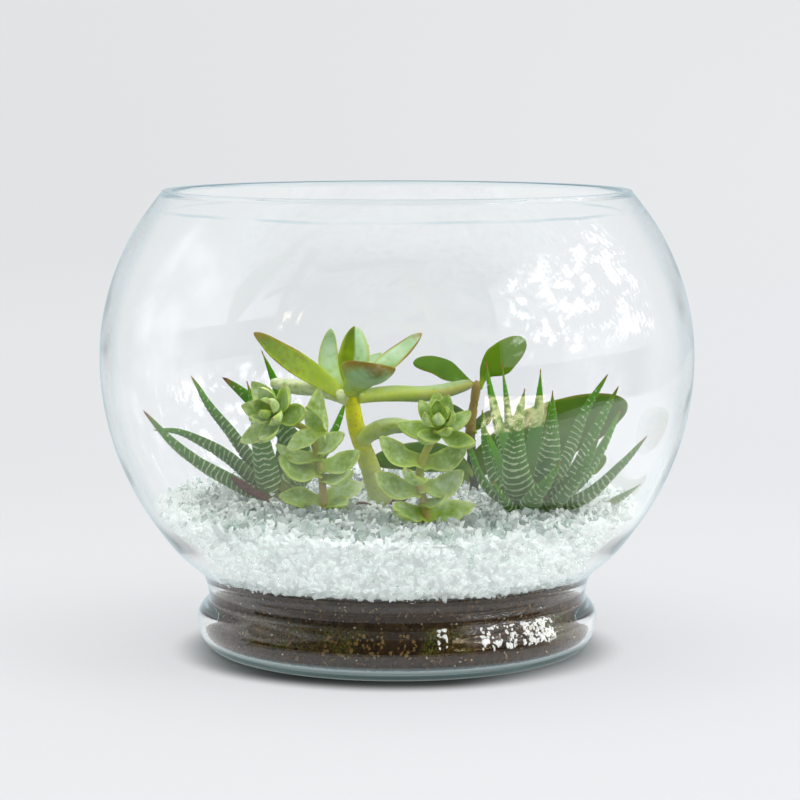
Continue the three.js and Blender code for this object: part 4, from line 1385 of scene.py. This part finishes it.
def make_sedums():
    finish, slot = sedum_finish(), "sedum_leaf"
    bark = stalk_finish("thin_stem", (0.44, 0.46, 0.08), (0.52, 0.36, 0.15), (0.34, 0.16, 0.08), 0.6)
    turned_leaves = {
        side: {f"leaf_{k}": dict(face=(0, -0.8, 1)) for k in range(1, last + 1)}
        for side, last in (("left", 6), ("right", 7))
    }
    # the way each head faces, its reach, its leaves' width and how far past the stem it sits
    heads = {
        "left": ((-0.5, -0.75, 0.45), 19.0, 13.5, 4.0),
        "right": ((0.0, -0.65, 0.75), 19.0, 13.0, 1.0),
    }
    for side, seed in (("left", 400), ("right", 500)):
        plant = f"front_{side}_sedum"
        stalk = make_stalk(
            f"{plant}_stem", f"{plant}_stalk", bark, "thin_stem", seed, around=20, rings=0.15
        )
        make_leaves(
            plant, f"{plant}_stem", finish, slot, "boat", turned_leaves[side], seed, grow=1.2
        )
        for k, (name, path, up, size) in enumerate(SEDUM_EXTRAS[side]):
            make_extra(f"{plant}_{name}", finish, slot, foot_of(stalk), path, up, size, "boat",
                       seed + 60 + k, tone=0.3)
        row, change = stalk.at(1)
        axis, reach, width, ahead = heads[side]
        centre = row[0, :3] + unit(change[0, :3]) * ahead
        make_head(f"{plant}_head", centre, axis, reach, width, finish, seed + 80)


def make_jade():
    finish, slot = jade_finish(), "glossy_leaf"
    bark = stalk_finish(
        "woody_stem", (0.34, 0.25, 0.06), (0.035, 0.05, 0.012), (0.10, 0.06, 0.03), 0.6,
        (0.62, 0.84),
    )
    stalk = make_stalk("jade_stem", "jade_stalk", bark, "woody_stem", 600, wobble=0.35, rings=0.3)
    wide = dict(hoops=56, around=34)
    make_leaves("jade", "jade_stem", finish, slot, "oval", {
        "leaf_left": dict(tone=-0.35, grow=0.84),
        "leaf_right": dict(tone=0.6, face=(0.1, -1, 0.1), size=(16.5, 3.6)),
    }, 610, **wide)
    line, width, depth = cad_leaf("paddle_leaf", cad_mesh("jade_stem")[0])
    leaf_skin(Skin(), line, width * 1.03, depth, "oval", 620, hoops=80, around=40, tone=0.1).piece(
        "paddle_leaf_blade", finish, slot, ["paddle_leaf"]
    )
    origin = foot_of(stalk)
    for k, (name, path, up, size, tone) in enumerate(JADE_EXTRAS):
        make_extra(f"jade_{name}", finish, slot, origin, path, up, size, "oval", 630 + k,
                   tone=tone, **wide)


# ---- the room -------------------------------------------------------------------------------
def staged(name, points, faces, finish, *unseen):
    """A part of the room, hidden from some kinds of ray."""
    mesh = bpy.data.meshes.new(name)
    mesh.from_pydata([tuple(point) for point in points], [], faces)
    mesh.materials.append(finish)
    mesh.polygons.foreach_set("use_smooth", [True] * len(mesh.polygons))
    made = placed(name, mesh)
    for kind in unseen:
        setattr(made, f"visible_{kind}", False)


def mirrored(paint):
    """1 for light that has been mirrored on its way, and 0 for all other light."""
    return paint.between(paint.ray("Glossy Depth"), 0.0, 1.0)


def mirrored_glow(paint, colour, strength):
    """A glow that only mirrored light finds."""
    return paint.done(paint.either(mirrored(paint), paint.clear(), paint.shine(colour, strength)))


def paper_finish():
    """White paper near the bowl, running out into an even glow all round it. Under the front of
    the foot it is darkened, where the bowl keeps the light off."""
    paint = Paint("white_paper")
    x, y, z = (paint.along_axis(axis) for axis in "XYZ")
    away = paint.node("ShaderNodeVectorMath", {"operation": "LENGTH"}, {0: paint.place}, "Value")
    wall = paint.mix((0.752, 0.764, 0.776), (0.812, 0.820, 0.832), paint.between(x, -0.75, 0.75))
    wall = paint.mix(wall, (0.79, 0.79, 0.785), paint.between(z, 0.1, 0.5) * 0.4)
    floor = paint.mix((0.787, 0.797, 0.812), (0.812, 0.820, 0.848), paint.between(x, -0.5, 0.5))
    glow = paint.mix(floor, wall, paint.between(away, 1.2, 3.2))
    front = paint.between(y * -1.0, 0.01, 0.08) * (1 - paint.between(x, 0.02, 0.075) * 0.85)
    shaded = (1 - paint.between(away, 0.089, 0.110)) * (front * 0.65 + 0.3)
    glow = paint.mix(glow, (0.02, 0.025, 0.018), shaded)
    white = paint.mix((0.62, 0.628, 0.64), (0.03, 0.035, 0.03), shaded)
    paper = paint.surface(Base_Color=white, Roughness=0.9)
    bounced = paint.between(paint.ray("Diffuse Depth"), 0.0, 1.0)
    through = paint.between(paint.ray("Transmission Depth"), 0.0, 1.0)
    strength = (1 - bounced * 0.5) * (through * 0.12 + 1.0)
    share = paint.between(away, 0.084, 0.108) * 0.72 + paint.between(away, 0.3, 0.8) * 0.28
    surface = paint.either(share, paper, paint.shine(glow, strength))
    return paint.done(paint.either(mirrored(paint), surface, paint.clear()))


def table_finish():
    """The table as reflections show it: brighter towards the window on the right."""
    paint = Paint("bright_table")
    x, y = (paint.along_axis(axis) for axis in "XY")
    side = paint.between(x + y * 0.2, 0.08, 0.32)
    shade = side * 0.45 + paint.between(y, -0.30, -0.20) * 0.45 + 0.38
    back = paint.between(y, -0.02, 0.45)
    shade = shade * (1 - back) + back * 0.84
    return mirrored_glow(paint, (1.0, 1.0, 1.0), shade)


def glow_finish(name, colour, strength, broken=None, soft=""):
    """A light surface for reflections only, whole or broken up as if by leaves outside: the
    size of the patches, and where their noise goes from dark to bright. It fades out along the
    soft axes."""
    paint = Paint(name)
    bright = 1.0
    if broken:
        size, low, high = broken
        bright = paint.between(paint.noise(size, 5, 0.65), low, high)
    generated = paint.node("ShaderNodeTexCoord", output="Generated")
    for axis in soft:
        off_middle = paint.without_sign(paint.along_axis(axis, generated) - 0.5)
        bright = paint.between(off_middle, 0.5, 0.3) * bright
    shade = paint.mix(tuple(0.8 / strength * part for part in colour), colour, bright)
    return mirrored_glow(paint, shade, strength)


def dome_finish():
    """The rest of the room as reflections show it: pale, but dark low down across the front
    and at both sides."""
    paint = Paint("dim_room")
    x, y, z = (paint.along_axis(axis) for axis in "XYZ")
    front = paint.between(y * -1.0, 1.0, 3.2) * (1 - paint.between(z, 3.8, 4.5))
    shade = paint.mix((0.78, 0.79, 0.80), (0.05, 0.055, 0.055), front)
    shade = paint.mix(shade, (0.74, 0.75, 0.76), paint.between(y, 0.5, 2.5))
    sides = paint.between(paint.without_sign(x), 1.5, 3.0) * (1 - paint.between(z, 0.4, 1.0))
    sides = sides * (1 - paint.between(y, 0.6, 2.2)) * (paint.between(x, -1.0, 1.0) * 0.35 + 0.55)
    return mirrored_glow(paint, paint.mix(shade, (0.08, 0.085, 0.08), sides), 1.0)


REFLECTIONS_ONLY = ("camera", "diffuse", "shadow", "volume_scatter")
WALL_FACETS = 96
DOME_FACETS = 48
DOME_RADIUS = 5.0          # metres, as all the room's sizes are
FLOOR_DROP = 0.0002        # keeps the floor off the underside of the foot
TABLE_DROP = 0.0004
EDGE_STEPS = 60            # along the dark edge of the table
# The bright table's outline: near in front, and far to the right and behind.
TABLE_EDGE = [(-0.6, -0.36), (0.15, -0.36), (0.40, -0.27), (0.60, -0.17), (0.74, 0.0),
              (0.85, 0.4), (1.1, 1.6), (-1.1, 1.6)]


def card(name, turn, lift, size, distance, finish):
    """An upright card that faces the bowl, placed by its turn from the front and its lift, both
    in degrees."""
    turn, lift = math.radians(turn), math.radians(lift)
    out = Vector((math.sin(turn), -math.cos(turn), 0))
    middle = out * distance * math.cos(lift) + Vector((0, 0, distance * math.sin(lift) + 0.12))
    side = Vector((math.cos(turn), math.sin(turn), 0)) * (size[0] / 2)
    up = Vector((0, 0, size[1] / 2))
    points = [middle + side * a + up * b for a, b in ((-1, -1), (1, -1), (1, 1), (-1, 1))]
    staged(name, points, [(0, 1, 2, 3)], finish, *REFLECTIONS_ONLY)


def make_backdrop():
    """A white floor that curves up into a wall all round."""
    turn = np.linspace(0, math.pi / 2, 13)
    curve = np.stack([2.9 + 0.7 * np.sin(turn), 0.7 - 0.7 * np.cos(turn)], -1)
    profile = np.vstack([[[0.2, 0.0], [0.6, 0.0], [1.6, 0.0]], curve, [[3.6, 2.4], [3.6, 4.2]]])
    profile[:, 1] -= FLOOR_DROP
    hoops = turned(profile, WALL_FACETS)
    points, quads, _ = hoop_solid(hoops, [0, 0, -FLOOR_DROP], [0, 0, 4.2])
    middle = len(points) - 2
    cap = [[(k + 1) % WALL_FACETS, k, middle] for k in range(WALL_FACETS)]
    staged("floor_and_wall", points, quads.tolist() + cap, paper_finish(),
           "diffuse", "glossy", "shadow")


def make_dome():
    lift = np.linspace(-math.pi / 2, math.pi / 2, 33)[1:-1]
    hoops = turned(np.stack([np.cos(lift), np.sin(lift)], -1) * DOME_RADIUS, DOME_FACETS)
    points, quads, triangles = hoop_solid(hoops, [0, 0, -DOME_RADIUS], [0, 0, DOME_RADIUS])
    staged("dim_room", points, quads.tolist() + triangles.tolist(), dome_finish(),
           *REFLECTIONS_ONLY)


def make_table():
    """The table that the glass mirrors, with a dark edge round the front of the foot."""
    table = [(x, y, -TABLE_DROP) for x, y in TABLE_EDGE]
    staged("bright_table", table, [list(range(len(table)))], table_finish(), *REFLECTIONS_ONLY)
    turn = np.radians(np.linspace(-160, -20, EDGE_STEPS + 1))
    strip = np.vstack([ring_place(turn, 0.140, 0.0006), ring_place(turn, 0.180, 0.010)])
    faces = [(k, k + 1, k + EDGE_STEPS + 2, k + EDGE_STEPS + 1) for k in range(EDGE_STEPS)]
    staged("dark_table_edge", strip, faces,
           glow_finish("dark_wood", (0.02, 0.02, 0.018), 1.0), *REFLECTIONS_ONLY)


def make_windows():
    sky = glow_finish("window", (1.0, 1.0, 0.99), 18.0, (210, 0.50, 0.76), "YZ")
    card("right_window", 80, 26, (3.7, 1.9), 2.4, sky)
    veiled = glow_finish("far_window", (1.0, 1.0, 0.98), 1.9, (600, 0.30, 0.80), "YZ")
    card("left_window", -98, 16, (2.0, 2.4), 2.4, veiled)
    wood = glow_finish("lit_wood", (1.0, 0.85, 0.58), 7.5, (45, 0.38, 0.62))
    card("wooden_seat", 43, -15, (0.42, 0.26), 1.0, wood)


def lamp(name, place, aim, size, power, colour):
    """A flat lamp at a place, aimed at another, with its width and height, watts and colour."""
    light = bpy.data.lights.new(name, "AREA")
    light.shape, light.size, light.size_y = "RECTANGLE", *size
    light.energy, light.color = power, colour
    made = placed(name, light)
    made.location = place
    made.rotation_euler = (Vector(aim) - Vector(place)).to_track_quat("-Z", "Y").to_euler()
    made.visible_transmission = made.visible_glossy = False


def make_light():
    world = bpy.data.worlds.new("soft_room")
    bpy.context.scene.world = world
    world.use_nodes = True
    back = world.node_tree.nodes["Background"]
    back.inputs["Color"].default_value = (0.98, 0.99, 1.0, 1)
    back.inputs["Strength"].default_value = 0.58
    lamp("overhead", (0, -0.2, 2.4), (0, 0, 0), (3.0, 3.0), 60, (1.0, 0.995, 0.985))
    lamp("right_window", (2.2, -0.7, 1.3), (0, 0, 0.1), (1.2, 1.6), 30, (1.0, 0.99, 0.96))
    lamp("front_fill", (0.1, -1.9, 0.45), (0, 0, 0.06), (1.8, 0.9), 14.0, (1.0, 1.0, 1.0))
    lamp("left_window", (-2.2, -0.5, 1.2), (0, 0, 0.1), (1.0, 1.4), 10, (0.96, 0.99, 1.0))


def make_camera():
    """A long lens in front of the bowl, a little above its rim and tilted down."""
    away, height, tilt = 1.3964, 0.2745, math.radians(6.43)
    camera = placed("camera", bpy.data.cameras.new("camera"))
    camera.data.lens, camera.data.sensor_width = 134.5, 36.0
    camera.data.shift_x = 0.00375
    camera.location = (0.0, -away, height)
    camera.rotation_euler = (math.pi / 2 - tilt, 0, 0)
    bpy.context.scene.camera = camera
    bpy.context.scene.view_settings.view_transform = "Standard"


make_bowl()
make_crushed_glass()
make_soil()
make_haworthias()
make_dry_sheaths()
make_stonecrop()
make_sedums()
make_jade()
make_backdrop()
make_dome()
make_table()
make_windows()
make_light()
make_camera()
